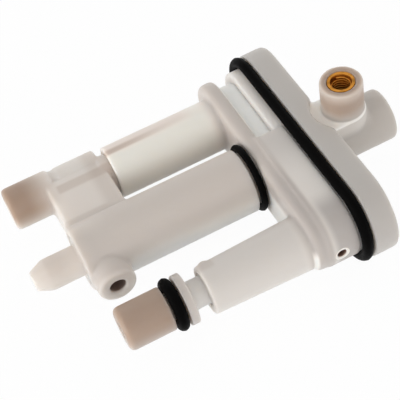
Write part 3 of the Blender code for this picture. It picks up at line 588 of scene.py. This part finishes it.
class VALVE_OT_moulded_head(bpy.types.Operator):
    """Mould the head: flange with a spot face, hub, outlet stub and the boss on its foot"""
    bl_idname = "valve.moulded_head"
    bl_label = "Moulded head"

    def execute(self, context):
        flange = long_slab(FLANGE_LEFT, FLANGE_RIGHT, FLANGE_RADIUS, -PITCH, PITCH, left_cut=0.3,
                           right_cut=1.1)
        hub = long_slab(HUB_LEFT, FLANGE_LEFT + LAP, HUB_RADIUS, -PITCH, PITCH, left_cut=0.15)
        stub_left = FLANGE_RIGHT - LAP
        stub = turned([(stub_left, 0.0, 0.0), (stub_left, STUB_RADIUS, 0.0), (HEAD_HIGH.x, STUB_RADIUS, 0.7),
                       (HEAD_HIGH.x, 0.0, 0.0)])
        boss_axis = at(x=BOSS_X) @ UPRIGHT
        spot = rod(FOOT_TOP, FLANGE_RADIUS + PAST, BOSS_RADIUS + SPOT_CLEARANCE, boss_axis)
        foot = block((stub_left, -FOOT_RADIUS, 0.0), (BOSS_X, FOOT_RADIUS, FOOT_TOP))
        boss = turned([(0.0, 0.0, 0.0), (0.0, FOOT_RADIUS, 0.0), (FOOT_TOP, FOOT_RADIUS, 0.2),
                       (FOOT_TOP + FOOT_STEP, BOSS_RADIUS, 0.2), (HEAD_HIGH.z, BOSS_RADIUS, 0.3),
                       (HEAD_HIGH.z, 0.0, 0.0)], boss_axis)
        bore = rod(HUB_LEFT - PAST, HEAD_HIGH.x + PAST, STUB_RADIUS - STUB_WALL)
        pocket = rod(INSERT_LOW.z - POCKET_FLOOR, HEAD_HIGH.z + PAST, INSERT_RADIUS + POCKET_PLAY, boss_axis)
        steps = [('UNION', hub), ('UNION', stub), ('DIFFERENCE', spot), ('UNION', foot), ('UNION', boss),
                 ('DIFFERENCE', bore), ('DIFFERENCE', pocket)]
        head = fuse("moulded_head", flange, steps, context.scene.valve_sizes)
        look = context.scene.valve_finish
        light_shade_and_tint_zones = [
            # Stub and boss, faintly browned, partly as painted shade
            (0.12, look.brown_and_shade, (("X", 8.0, 10.5),)),
            # Boss, browner and darker upwards: painted shade
            (0.85, look.brown_and_shade, (("X", 8.0, 8.6), ("Z", 8.8, 13.5))),
            # Boss foot, lighter: painted light
            (0.35, look.pale, (("X", 7.4, 8.4), ("X", 20.5, 18.5), ("Z", 4.0, 7.0), ("Z", 9.9, 9.2))),
            # Rim of the boss, lighter: painted light
            (0.3, look.pale, (("Z", 14.5, 18.0), ("R", 4.2, 5.4))),
            # Hub, left of the flange, lighter: painted light
            (0.75, look.cool, (("X", 1.7, 1.0),)),
            # Near end of the flange, darker: painted shade
            (0.3, look.shade_grey, (("X", 1.0, 1.7), ("Y", -20.0, -30.0))),
            # Spot face, lighter in its corner: painted light
            (0.9, look.pale, (("X", 4.8, 5.6), ("Z", 8.7, 9.0), ("Z", 9.8, 9.3), ("Y", -9.0, -8.0),
                              ("Y", 9.0, 8.0)))]
        # Depth 0.63 paints the whole head darker, as painted shade, and its cool top is painted shade
        finish = plastic("Head plastic", look, look.cool, light_shade_and_tint_zones, depth=0.63)
        install(head, finish, "natural_plastic", "head_block")
        return {'FINISHED'}


class VALVE_OT_threaded_insert(bpy.types.Operator):
    """Turn the brass insert and wind its inner thread"""
    bl_idname = "valve.threaded_insert"
    bl_label = "Threaded insert"

    def execute(self, context):
        sizes = context.scene.valve_sizes
        top = INSERT_HIGH.z
        bottom = INSERT_LOW.z
        outer = INSERT_RADIUS
        floor = outer - 0.35
        crest = 2.05
        depth = sizes.thread_depth / MM
        pitch = sizes.thread_pitch / MM
        root = crest + depth
        mouth_radius = root + 0.25
        mouth_depth = 0.65
        groove_half = 0.35
        floor_half = 0.3
        corners = [(top, mouth_radius, 0.06), (top, outer, 0.12)]
        for share in (0.35, 0.7):
            groove = top - share * (top - bottom)
            corners += [(groove + groove_half, outer, 0.05), (groove + floor_half, floor, 0.0),
                        (groove - floor_half, floor, 0.0), (groove - groove_half, outer, 0.05)]
        corners += [(bottom, outer, 0.1), (bottom, root, 0.0), (top - mouth_depth, root, 0.0)]
        sleeve = turned(corners, steps=sizes.turn_steps, closed=True)
        start = bottom + 0.2
        sunk = root + 0.05
        ridge = [(start, sunk), (start + pitch / 2, crest), (start + pitch * 0.9, sunk)]
        points = [sleeve.verts.new((along, radius, 0.0)) for along, radius in ridge]
        edges = [sleeve.edges.new((points[index - 1], points[index])) for index in range(len(points))]
        plain_length = 1.2
        turns = int((top - bottom - plain_length) / pitch)
        round_steps = 48
        bmesh.ops.spin(sleeve, geom=points + edges, cent=(0.0, 0.0, 0.0), axis=(1.0, 0.0, 0.0),
                       dvec=(pitch / round_steps, 0.0, 0.0), angle=2 * pi * turns, steps=round_steps * turns)
        bmesh.ops.holes_fill(sleeve, edges=[edge for edge in sleeve.edges if edge.is_boundary])
        bmesh.ops.recalc_face_normals(sleeve, faces=sleeve.faces[:])
        bmesh.ops.transform(sleeve, matrix=at(x=BOSS_X) @ UPRIGHT, verts=sleeve.verts[:])
        insert = as_object("threaded_insert", sleeve)
        brass = metal("Insert brass", context.scene.valve_finish.brass, dark=0.55, gloss=0.34, scale=700.0)
        install(insert, brass, "brass", "brass_insert")
        return {'FINISHED'}


class VALVE_OT_tube_plate(bpy.types.Operator):
    """Mould the bull-nosed plate, its stepped neck and the two tubes"""
    bl_idname = "valve.tube_plate"
    bl_label = "Tube plate"

    def execute(self, context):
        plate = long_slab(PLATE_LEFT, PLATE_RIGHT, PLATE_RADIUS, -PITCH, PITCH, left_cut=1.9, right_cut=1.2)
        neck = long_slab(PLATE_RIGHT - LAP, NECK_RIGHT, NECK_RADIUS, -PITCH, NECK_FAR)
        step_right = LONG_SEAL_LOW.x + 0.3
        step = long_slab(PLATE_RIGHT - 2 * LAP, step_right, BLOCK_RADIUS, -PITCH, BLOCK_FAR, left_cut=0.2)
        whole = step.verts[:] + step.edges[:] + step.faces[:]
        bmesh.ops.bisect_plane(step, geom=whole, plane_co=(0.0, BLOCK_FAR, 0.0), plane_no=(0.0, 1.0, 0.0),
                               clear_outer=True)
        bmesh.ops.holes_fill(step, edges=[edge for edge in step.edges if edge.is_boundary])
        tube_right = PLATE_LEFT + 1.0
        upper_axis = at(y=UPPER_TUBE_Y)
        upper = turned([(tube_right, 0.0, 0.0), (tube_right, UPPER_TUBE_RADIUS, 0.0),
                        (UPPER_TUBE_LEFT, UPPER_TUBE_RADIUS, 0.4), (UPPER_TUBE_LEFT, 0.0, 0.0)], upper_axis)
        lower = turned([(tube_right, 0.0, 0.0), (tube_right, LOWER_TUBE_FOOT, 0.0),
                        (LOWER_TUBE_LEFT, LOWER_TUBE_END, 0.5), (LOWER_TUBE_LEFT, 0.0, 0.0)],
                       at(y=LOWER_TUBE_Y))
        lug = turned([(0.0, 0.0, 0.0), (0.0, LUG_RADIUS, 0.0), (LUG_TOP, LUG_RADIUS, 0.9),
                      (LUG_TOP, 0.0, 0.0)], at(x=LUG_X, y=LUG_Y) @ UPRIGHT)
        chamber = long_slab(CHAMBER_LEFT, LONG_SEAL_LOW.x + PAST, CHAMBER_RADIUS, -PITCH, NECK_FAR)
        upper_bore = rod(UPPER_TUBE_LEFT - PAST, CHAMBER_LEFT + LAP, UPPER_TUBE_BORE, upper_axis)
        lower_bore = rod(LOWER_TUBE_LEFT - PAST, CHAMBER_LEFT + LAP, LOWER_TUBE_BORE, at(y=-PITCH))
        socket = rod(PLATE_LEFT - PAST, SPIGOT_RIGHT + ROOM, SOCKET_RADIUS)
        vent = rod(PITCH, PITCH + VENT_RUN, VENT_RADIUS, at(x=VENT_X) @ TO_FRONT)
        steps = [('UNION', neck), ('UNION', step), ('UNION', upper), ('UNION', lower), ('UNION', lug),
                 ('DIFFERENCE', chamber), ('DIFFERENCE', upper_bore), ('DIFFERENCE', lower_bore),
                 ('DIFFERENCE', socket), ('DIFFERENCE', vent)]
        piece = fuse("tube_plate_moulding", plate, steps, context.scene.valve_sizes)
        look = context.scene.valve_finish
        plate_zone = (("X", -15.0, -12.0), ("X", -7.6, -8.8))
        light_shade_and_tint_zones = [
            # Plate, browner and darker upwards: painted shade
            (0.3, look.brown_and_shade, (("X", -16.0, -11.5), ("X", -7.0, -9.5), ("Z", -9.0, 1.0))),
            # Left end of the lower tube, on the lug's side, darker: painted shade
            (0.25, look.brown_and_shade, (("X", -34.0, -35.0), ("Y", -24.4, -22.8), ("Y", -15.0, -17.0))),
            # Plate, greyer and darker towards its near end: painted shade
            (0.3, look.shade_grey, plate_zone),
            (0.55, look.shade_grey, plate_zone + (("Y", -2.0, -14.0),)),
            # Neck, lighter: painted light; then the far end of the block and its near end, darker: painted
            # shade
            (0.9, look.white, (("X", -8.8, -8.0), ("Y", 3.5, 4.5))),
            (0.35, look.shade_grey, (("X", -8.8, -8.0), ("Y", -14.0, 0.0), ("Y", 4.3, 3.7))),
            (0.85, look.shade_grey, (("X", -8.8, -6.0), ("Y", -19.0, -26.0))),
            # Lower half of the plate's left face, on the near side of the barrel, lighter: painted light
            (1.0, look.white, (("X", -11.6, -12.3), ("X", -13.4, -12.8), ("Y", -7.5, -9.0), ("Z", 4.0, 1.0))),
            # Upper tube, lighter: painted light coming through it; then the top of the lower tube, darker:
            # painted shade
            (1.0, look.clear, (("X", -13.0, -16.0), ("Y", 10.0, 12.0))),
            (0.3, look.shade_grey, (("X", -13.0, -16.0), ("Y", -14.0, -17.0), ("Z", -6.0, 1.0))),
            # Far side and crest line of the upper tube, darker: painted shade
            (0.25, look.shade_grey, (("X", -16.0, -22.0), ("Y", 20.0, 22.0), ("Z", 3.0, 5.0))),
            (0.55, look.brown_and_shade, (("X", -20.0, -42.0), ("Y", 20.2, 21.2), ("Y", 23.2, 21.8), ("Z", 3.0, 5.0)))]
        # The vent: a painted highlight on its rim and painted shade inside
        hole_light_and_shade = [(VENT_X, VENT_RIM, -PITCH - 7.2, -PITCH - 7.8, look.clear),
                  (VENT_X, VENT_RADIUS, -PITCH - 8.4, -PITCH - 8.0, look.hole)]
        # Depth 0.9 paints the whole plate darker, as painted shade, and its cool top is painted shade
        finish = plastic("Plate plastic", look, look.cool, light_shade_and_tint_zones, hole_light_and_shade, depth=0.9, scatter=1.8)
        install(piece, finish, "natural_plastic", "tube_plate")
        return {'FINISHED'}


class VALVE_OT_barrel(bpy.types.Operator):
    """Mould the barrel with its side boss, the duct and the long port"""
    bl_idname = "valve.barrel"
    bl_label = "Barrel and long port"

    def execute(self, context):
        barrel = turned([(SPIGOT_RIGHT, SPIGOT_BORE, 0.0), (SPIGOT_RIGHT, SPIGOT_RADIUS, 0.3),
                         (BARREL_RIGHT, SPIGOT_RADIUS, 0.0), (BARREL_RIGHT, BARREL_RADIUS, 0.4),
                         (BARREL_LEFT, BARREL_RADIUS, 0.3), (BARREL_LEFT, BARREL_BORE, 0.2),
                         (BORE_STEP, BARREL_BORE, 0.0), (BORE_STEP, SPIGOT_BORE, 0.0)], closed=True)
        port = at(y=PITCH)
        waist_right = LONG_TIP_RIGHT + WAIST_LENGTH
        tip = turned([(LONG_TIP_END, 0.0, 0.0), (LONG_TIP_END, LONG_TIP_RADIUS, 1.2),
                      (LONG_TIP_RIGHT, LONG_TIP_RADIUS, 0.3), (LONG_TIP_RIGHT, WAIST_RADIUS, 0.0),
                      (waist_right, WAIST_RADIUS, 0.0), (waist_right, SECTION_RADIUS, 0.1),
                      (SECTION_RIGHT, SECTION_RADIUS, 0.5), (SECTION_RIGHT, 0.0, 0.0)], port)
        plug_axis = at(y=UPPER_TUBE_Y)
        plug = rod(SECTION_RIGHT - LAP, SECTION_RIGHT + PLUG_LENGTH, PLUG_RADIUS, plug_axis)
        inside = BARREL_BORE / 2
        duct = block((DUCT_LEFT, inside, -DUCT_HALF), (SECTION_RIGHT + LAP, DUCT_FAR, DUCT_HALF), edge=0.7)
        boss_axis = at(x=SIDE_BOSS_X) @ TO_FRONT
        boss = turned([(BARREL_BORE, 0.0, 0.0), (BARREL_BORE, SIDE_BOSS_FOOT, 0.0),
                       (SIDE_BOSS_END, SIDE_BOSS_RADIUS, 0.9), (SIDE_BOSS_END, 0.0, 0.0)], boss_axis)
        past_boss = SIDE_BOSS_END + 0.6
        hole = turned([(inside, 0.0, 0.0), (inside, SIDE_HOLE_RADIUS, 0.0),
                       (SIDE_BOSS_END - 0.3, SIDE_HOLE_RADIUS, 0.0), (SIDE_BOSS_END, SIDE_HOLE_MOUTH, 0.0),
                       (past_boss, SIDE_HOLE_MOUTH, 0.0), (past_boss, 0.0, 0.0)], boss_axis)
        clear = rod(BARREL_LEFT - PAST, BORE_STEP, BARREL_BORE)
        long_bore = rod(LONG_TIP_END - PAST, LONG_BORE_RIGHT, PORT_BORE, port)
        plug_bore = rod(PLUG_BORE_LEFT, SECTION_RIGHT + PLUG_LENGTH + PAST, PORT_BORE, plug_axis)
        steps = [('UNION', duct), ('UNION', tip), ('UNION', plug), ('UNION', boss), ('DIFFERENCE', clear),
                 ('DIFFERENCE', hole), ('DIFFERENCE', long_bore), ('DIFFERENCE', plug_bore)]
        piece = fuse("barrel_moulding", barrel, steps, context.scene.valve_sizes)
        look = context.scene.valve_finish
        light_shade_and_tint_zones = [
            # Left part of the duct and the long port, lighter: painted light
            (0.35, look.pale, (("X", -47.0, -50.0), ("Y", 8.0, 9.0))),
            # Tip of the long port, browner to the left: its own browned tone, with painted shade darker
            # upwards
            (1.0, look.brown_and_shade, (("X", -56.0, -66.0), ("Y", 13.0, 18.0), ("Z", -5.0, 3.0))),
            # Line where the duct meets the long port, darker: painted shade
            (0.3, look.brown_and_shade, (("Y", 17.0, 18.0), ("Y", 20.8, 19.8), ("X", -58.0, -57.0), ("Z", 3.0, 4.5))),
            # Low near side of the barrel, lighter: painted light from below
            (1.0, look.white, (("X", -56.0, -48.0), ("Y", 0.0, -5.0), ("Z", 5.0, -2.0))),
            # Left end of the barrel, then its top, darker: painted shade
            (0.35, look.shade_grey, (("X", -49.0, -57.0), ("Y", 3.0, -3.0))),
            (0.2, look.shade_grey, (("X", -56.0, -50.0), ("Y", 8.0, 6.0), ("Z", 1.0, 5.0)))]
        # Painted shade inside the side boss's hole
        hole_light_and_shade = [(SIDE_BOSS_X, SIDE_HOLE_RADIUS, 0.4 - SIDE_BOSS_END, 0.9 - SIDE_BOSS_END, look.hole)]
        # Depth 0.78 paints the whole barrel darker, as painted shade, and its warmer top is painted shade
        finish = plastic("Barrel plastic", look, look.shaded_warm, light_shade_and_tint_zones, hole_light_and_shade, depth=0.78)
        install(piece, finish, "natural_plastic", "valve_barrel")
        return {'FINISHED'}


class VALVE_OT_nozzle_cap(bpy.types.Operator):
    """Turn the end cap with its tapered pilot nozzle"""
    bl_idname = "valve.nozzle_cap"
    bl_label = "Nozzle cap"

    def execute(self, context):
        left = BARREL_LEFT + 0.2
        right = CAP_HIGH.x
        radius = CAP_HIGH.z
        tip = CAP_LOW.x
        middle = (left + right) / 2
        groove_left = middle - 0.5
        groove_right = middle + 0.5
        groove = radius - 0.9
        taper_right = tip + 3.7
        nozzle = 4.05
        step = 0.4
        tip_radius = 2.45
        bore = 1.3
        corners = [(right, bore, 0.0), (right, radius, 0.2), (groove_right, radius, 0.0),
                   (groove_right, groove, 0.0), (groove_left, groove, 0.0), (groove_left, radius, 0.0),
                   (left, radius, 0.2), (left, nozzle + step, 0.2), (left - step, nozzle, 0.2),
                   (taper_right, nozzle, 0.8), (tip, tip_radius, 0.5), (tip, bore, 0.25)]
        shape = turned(corners, steps=context.scene.valve_sizes.turn_steps, closed=True)
        cap = as_object("nozzle_cap", shape)
        look = context.scene.valve_finish
        # Browner towards the nozzle
        light_shade_and_tint_zones = [(0.1, look.brown_and_shade, (("X", -62.0, -66.0),))]
        # Depth 0.83 paints the whole cap darker, as painted shade, and its warmer top is painted shade
        finish = plastic("Nozzle plastic", look, look.shaded_warm, light_shade_and_tint_zones, depth=0.83)
        install(cap, finish, "natural_plastic", "end_cap")
        return {'FINISHED'}


class VALVE_OT_short_port(bpy.types.Operator):
    """Turn the short port: rounded tip, seal seat, collar, thin neck and plug"""
    bl_idname = "valve.short_port"
    bl_label = "Short port"

    def execute(self, context):
        tip_end = SPIGOT_LOW.x
        tip_right = PORT_SEAL_LOW.x - ROOM
        collar_left = PORT_SEAL_HIGH.x + ROOM
        collar_right = collar_left + 2.1
        neck_right = collar_right + 4.3
        plug_right = SPIGOT_HIGH.x
        groove_left = neck_right + 3.0
        groove_right = groove_left + 1.7
        collar = SPIGOT_HIGH.z
        bore = 2.2
        plug = 3.9
        groove = 2.6
        neck = 3.6
        seat = 3.45
        tip = 5.5
        corners = [(plug_right, bore, 0.0), (plug_right, plug, 0.3), (groove_right, plug, 0.0),
                   (groove_right, groove, 0.0), (groove_left, groove, 0.0), (groove_left, plug, 0.0),
                   (neck_right, plug, 0.1), (neck_right, neck, 0.0), (collar_right, neck, 0.25),
                   (collar_right, collar, 0.35), (collar_left, collar, 0.35), (collar_left, seat, 0.2),
                   (tip_right, seat, 0.2), (tip_right, tip, 0.35), (tip_end, tip, 1.6), (tip_end, bore, 0.3)]
        shape = turned(corners, at(y=-PITCH), context.scene.valve_sizes.turn_steps, closed=True)
        port = as_object("short_port", shape)
        look = context.scene.valve_finish
        light_shade_and_tint_zones = [
            # Collar and what lies left of it, darker: painted shade
            (0.75, look.shade_grey, (("X", -42.4, -42.8),)),
            # Tip: its own browned tone, with painted shade darker upwards
            (0.95, look.brown_and_shade, (("X", -46.5, -49.5), ("Z", -6.0, 3.0)))]
        # Depth 0.95 paints the port a little darker, as painted shade, and its warmer top is painted shade
        finish = plastic("Short port plastic", look, look.shaded_warm, light_shade_and_tint_zones, depth=0.95)
        install(port, finish, "spigot_plastic", "lower_spigot")
        return {'FINISHED'}


def seal_profile(centre, radius, cord, flash):
    """A cord's round section with a low mould line on its outer and inner side."""
    count = 28
    crown = 0.999
    half = cord / 2
    corners = []
    for step in range(count):
        turn = 2 * pi * step / count
        reach = half - flash if abs(sin(turn)) < crown else half
        corners.append((centre + reach * cos(turn), radius + reach * sin(turn), 0.0))
    return corners


class VALVE_OT_seals(bpy.types.Operator):
    """Make the three black seals that show: round the hub, on the barrel and on the short port"""
    bl_idname = "valve.seals"
    bl_label = "Black seals"

    def execute(self, context):
        sizes = context.scene.valve_sizes
        finish = rubber(context.scene.valve_finish)
        seals = (("long_head_seal", "head_o_ring", LONG_SEAL_LOW, LONG_SEAL_HIGH, 0.0, PITCH),
                 ("barrel_seal", "barrel_o_ring", BARREL_SEAL_LOW, BARREL_SEAL_HIGH, 0.0, 0.0),
                 ("short_port_seal", "spigot_o_ring", PORT_SEAL_LOW, PORT_SEAL_HIGH, -PITCH, 0.0))
        for name, node, low, high, middle, reach in seals:
            cord = high.x - low.x
            corners = seal_profile((low.x + high.x) / 2, high.z - cord / 2, cord, sizes.flash / MM)
            shape = turned(corners, closed=True)
            if reach:
                drawn_out(shape, -reach, reach)
            bmesh.ops.translate(shape, verts=shape.verts[:], vec=(0.0, middle, 0.0))
            install(as_object(name, shape), finish, "black_rubber", node)
        return {'FINISHED'}


class VALVE_OT_return_coil(bpy.types.Operator):
    """Wind the return spring at one length; the real spring shortens as the shuttle slides"""
    bl_idname = "valve.return_coil"
    bl_label = "Return coil"

    def execute(self, context):
        wire = 0.7
        turns = 4.5
        round_steps = 40
        wire_steps = 14
        steps = int(turns * round_steps)
        left = SPRING_LOW.x + wire / 2
        right = SPRING_HIGH.x - wire / 2
        radius = SPRING_HIGH.z - wire / 2
        coil = bmesh.new()
        bmesh.ops.create_circle(coil, segments=wire_steps, radius=wire / 2)
        bmesh.ops.translate(coil, verts=coil.verts[:], vec=(left, radius, 0.0))
        bmesh.ops.spin(coil, geom=coil.verts[:] + coil.edges[:], cent=(0.0, 0.0, 0.0), axis=(1.0, 0.0, 0.0),
                       dvec=((right - left) / steps, 0.0, 0.0), angle=2 * pi * turns, steps=steps)
        bmesh.ops.holes_fill(coil, edges=[edge for edge in coil.edges if edge.is_boundary])
        bmesh.ops.recalc_face_normals(coil, faces=coil.faces[:])
        spring = as_object("return_coil", coil)
        steel = metal("Coil steel", context.scene.valve_finish.steel, dark=0.75, gloss=0.28, scale=500.0)
        spring.data.materials.append(steel)
        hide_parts("return_spring")
        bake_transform(spring)
        return {'FINISHED'}


class VALVE_OT_inner_pieces(bpy.types.Operator):
    """Finish the inner pieces that are carried over from the frame"""
    bl_idname = "valve.inner_pieces"
    bl_label = "Inner pieces"

    def execute(self, context):
        look = context.scene.valve_finish
        finish = Finish("Inner plastic")
        cloud = finish.noise(scale=150.0, detail=2.0)
        darker = [channel * 0.9 for channel in look.inner]
        inner_plastic = finish.shade(
            Base_Color=finish.mix(cloud, look.inner, darker),
            Roughness=finish.ramp(cloud, NOISE_LOW, NOISE_HIGH, low=0.34, high=0.44))
        steel = metal("Clip steel", look.steel, dark=0.75, gloss=0.28, scale=500.0)
        inner_rubber = rubber(look)
        groups = ((inner_plastic, ("stem_guide", "closed_seat", "open_seat", "shuttle_stem", "piston")),
                  (inner_rubber, ("cap_o_ring", "plug_o_ring", "guide_o_ring", "piston_seal", "valve_disc")),
                  (steel, ("piston_clip", "disc_clip")))
        for material, names in groups:
            for name in names:
                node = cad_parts[name]
                node.data.materials.clear()
                node.data.materials.append(material)
        return {'FINISHED'}


class VALVE_OT_stage(bpy.types.Operator):
    """Set the pale floor, the soft light and the camera"""
    bl_idname = "valve.stage"
    bl_label = "Stage"

    def execute(self, context):
        stage = context.scene.valve_stage
        self.lay_floor()
        self.set_world(context, stage)
        self.hang_lamp(context, "Front lamp", stage.front, FRONT_LAMP)
        self.hang_lamp(context, "Left lamp", stage.left, LEFT_LAMP)
        self.stand_camera(context, stage)
        context.scene.view_settings.view_transform = 'Standard'
        return {'FINISHED'}

    def lay_floor(self):
        """A wide sheet just under the part, which glows only for the rays that see it."""
        half = 3000.0
        gap = 0.05
        grey = 0.97
        glow_share = 0.96
        shape = bmesh.new()
        bmesh.ops.create_grid(shape, x_segments=8, y_segments=8, size=half)
        bmesh.ops.translate(shape, verts=shape.verts[:], vec=(0.0, 0.0, CAD_BOX[0].z / MM - gap))
        floor = as_object("floor", shape)
        paper = Finish("Floor paper")
        camera, glossy, through = [paper.node("ShaderNodeLightPath", output=kind) for kind in RAYS_SEEN]
        seen = camera + glossy + through
        glow = paper.node("ShaderNodeEmission", inputs={"Color": (1.0, 1.0, 1.0, 1.0), "Strength": 1.0})
        matt = paper.node("ShaderNodeBsdfDiffuse", inputs={"Color": (grey, grey, grey, 1.0)})
        both = paper.node("ShaderNodeMixShader", inputs={0: glow_share * seen, 1: matt, 2: glow})
        paper.feed(paper.tree.nodes["Material Output"].inputs["Surface"], both)
        floor.data.materials.append(paper.material)

    def set_world(self, context, stage):
        """A sky that is white where it is seen and lights the part more from the sides than from above."""
        world = bpy.data.worlds.new("Soft sky")
        context.scene.world = world
        world.use_nodes = True
        tree = world.node_tree
        background = tree.nodes["Background"]
        background.inputs["Color"].default_value = (1.0, 1.0, 1.0, 1.0)
        path = tree.nodes.new("ShaderNodeLightPath")
        camera, glossy, through = [Level(tree, path.outputs[kind]) for kind in RAYS_SEEN]
        seen = camera + glossy + through
        heading = tree.nodes.new("ShaderNodeTexCoord")
        split = tree.nodes.new("ShaderNodeSeparateXYZ")
        tree.links.new(heading.outputs["Generated"], split.inputs["Vector"])
        band = tree.nodes.new("ShaderNodeMapRange")
        band.interpolation_type = 'SMOOTHSTEP'
        tree.links.new(split.outputs["Z"], band.inputs["Value"])
        band.inputs["From Min"].default_value = HORIZON_LOW
        band.inputs["From Max"].default_value = HORIZON_HIGH
        band.inputs["To Min"].default_value = stage.horizon
        band.inputs["To Max"].default_value = stage.sky
        light = Level(tree, band.outputs[0])
        tree.links.new((seen + (1.0 - seen) * light).socket, background.inputs["Strength"])

    def hang_lamp(self, context, name, power, offset):
        """A square lamp that faces the middle of the part."""
        light = bpy.data.lights.new(name, 'AREA')
        light.energy = power
        light.shape = 'SQUARE'
        light.size = LAMP_SIZE
        lamp = bpy.data.objects.new(name, light)
        middle = (CAD_BOX[0] + CAD_BOX[1]) / 2
        facing = offset.to_track_quat('Z', 'Y').to_matrix().to_4x4()
        lamp.matrix_world = Matrix.Translation(middle + offset) @ facing
        context.scene.collection.objects.link(lamp)

    def stand_camera(self, context, stage):
        """The camera at its eye point, turned by its three angles."""
        data = bpy.data.cameras.new("Camera")
        data.sensor_width = SENSOR_WIDTH
        data.lens = stage.lens
        data.clip_start = 0.01
        camera = bpy.data.objects.new("Camera", data)
        camera.matrix_world = (Matrix.Translation(stage.eye) @ Matrix.Rotation(stage.azimuth, 4, 'Z')
                               @ Matrix.Rotation(pi / 2 - stage.elevation, 4, 'X')
                               @ Matrix.Rotation(-stage.roll, 4, 'Z'))
        context.scene.collection.objects.link(camera)
        context.scene.camera = camera


PIECES = (VALVE_OT_moulded_head, VALVE_OT_threaded_insert, VALVE_OT_tube_plate, VALVE_OT_barrel,
          VALVE_OT_nozzle_cap, VALVE_OT_short_port, VALVE_OT_seals, VALVE_OT_return_coil,
          VALVE_OT_inner_pieces, VALVE_OT_stage)


class VALVE_PT_panel(bpy.types.Panel):
    """Lists the sizes, the finish and the pieces in the sidebar"""
    bl_idname = "VALVE_PT_panel"
    bl_label = "Diverter valve"
    bl_space_type = 'VIEW_3D'
    bl_region_type = 'UI'
    bl_category = "Valve"

    def draw(self, context):
        for settings in (context.scene.valve_sizes, context.scene.valve_finish, context.scene.valve_stage):
            box = self.layout.box()
            for name in settings.__annotations__:
                box.prop(settings, name)
        for piece in PIECES:
            self.layout.operator(piece.bl_idname)


CLASSES = (ValveSizes, ValveFinish, StageSettings) + PIECES + (VALVE_PT_panel,)


def register():
    for item in CLASSES:
        bpy.utils.register_class(item)
    bpy.types.Scene.valve_sizes = PointerProperty(type=ValveSizes)
    bpy.types.Scene.valve_finish = PointerProperty(type=ValveFinish)
    bpy.types.Scene.valve_stage = PointerProperty(type=StageSettings)


def unregister():
    del bpy.types.Scene.valve_stage
    del bpy.types.Scene.valve_finish
    del bpy.types.Scene.valve_sizes
    for item in reversed(CLASSES):
        bpy.utils.unregister_class(item)


def main():
    register()
    bpy.ops.valve.moulded_head()
    bpy.ops.valve.threaded_insert()
    bpy.ops.valve.tube_plate()
    bpy.ops.valve.barrel()
    bpy.ops.valve.nozzle_cap()
    bpy.ops.valve.short_port()
    bpy.ops.valve.seals()
    bpy.ops.valve.return_coil()
    bpy.ops.valve.inner_pieces()
    bpy.ops.valve.stage()


if __name__ == "__main__":
    main()
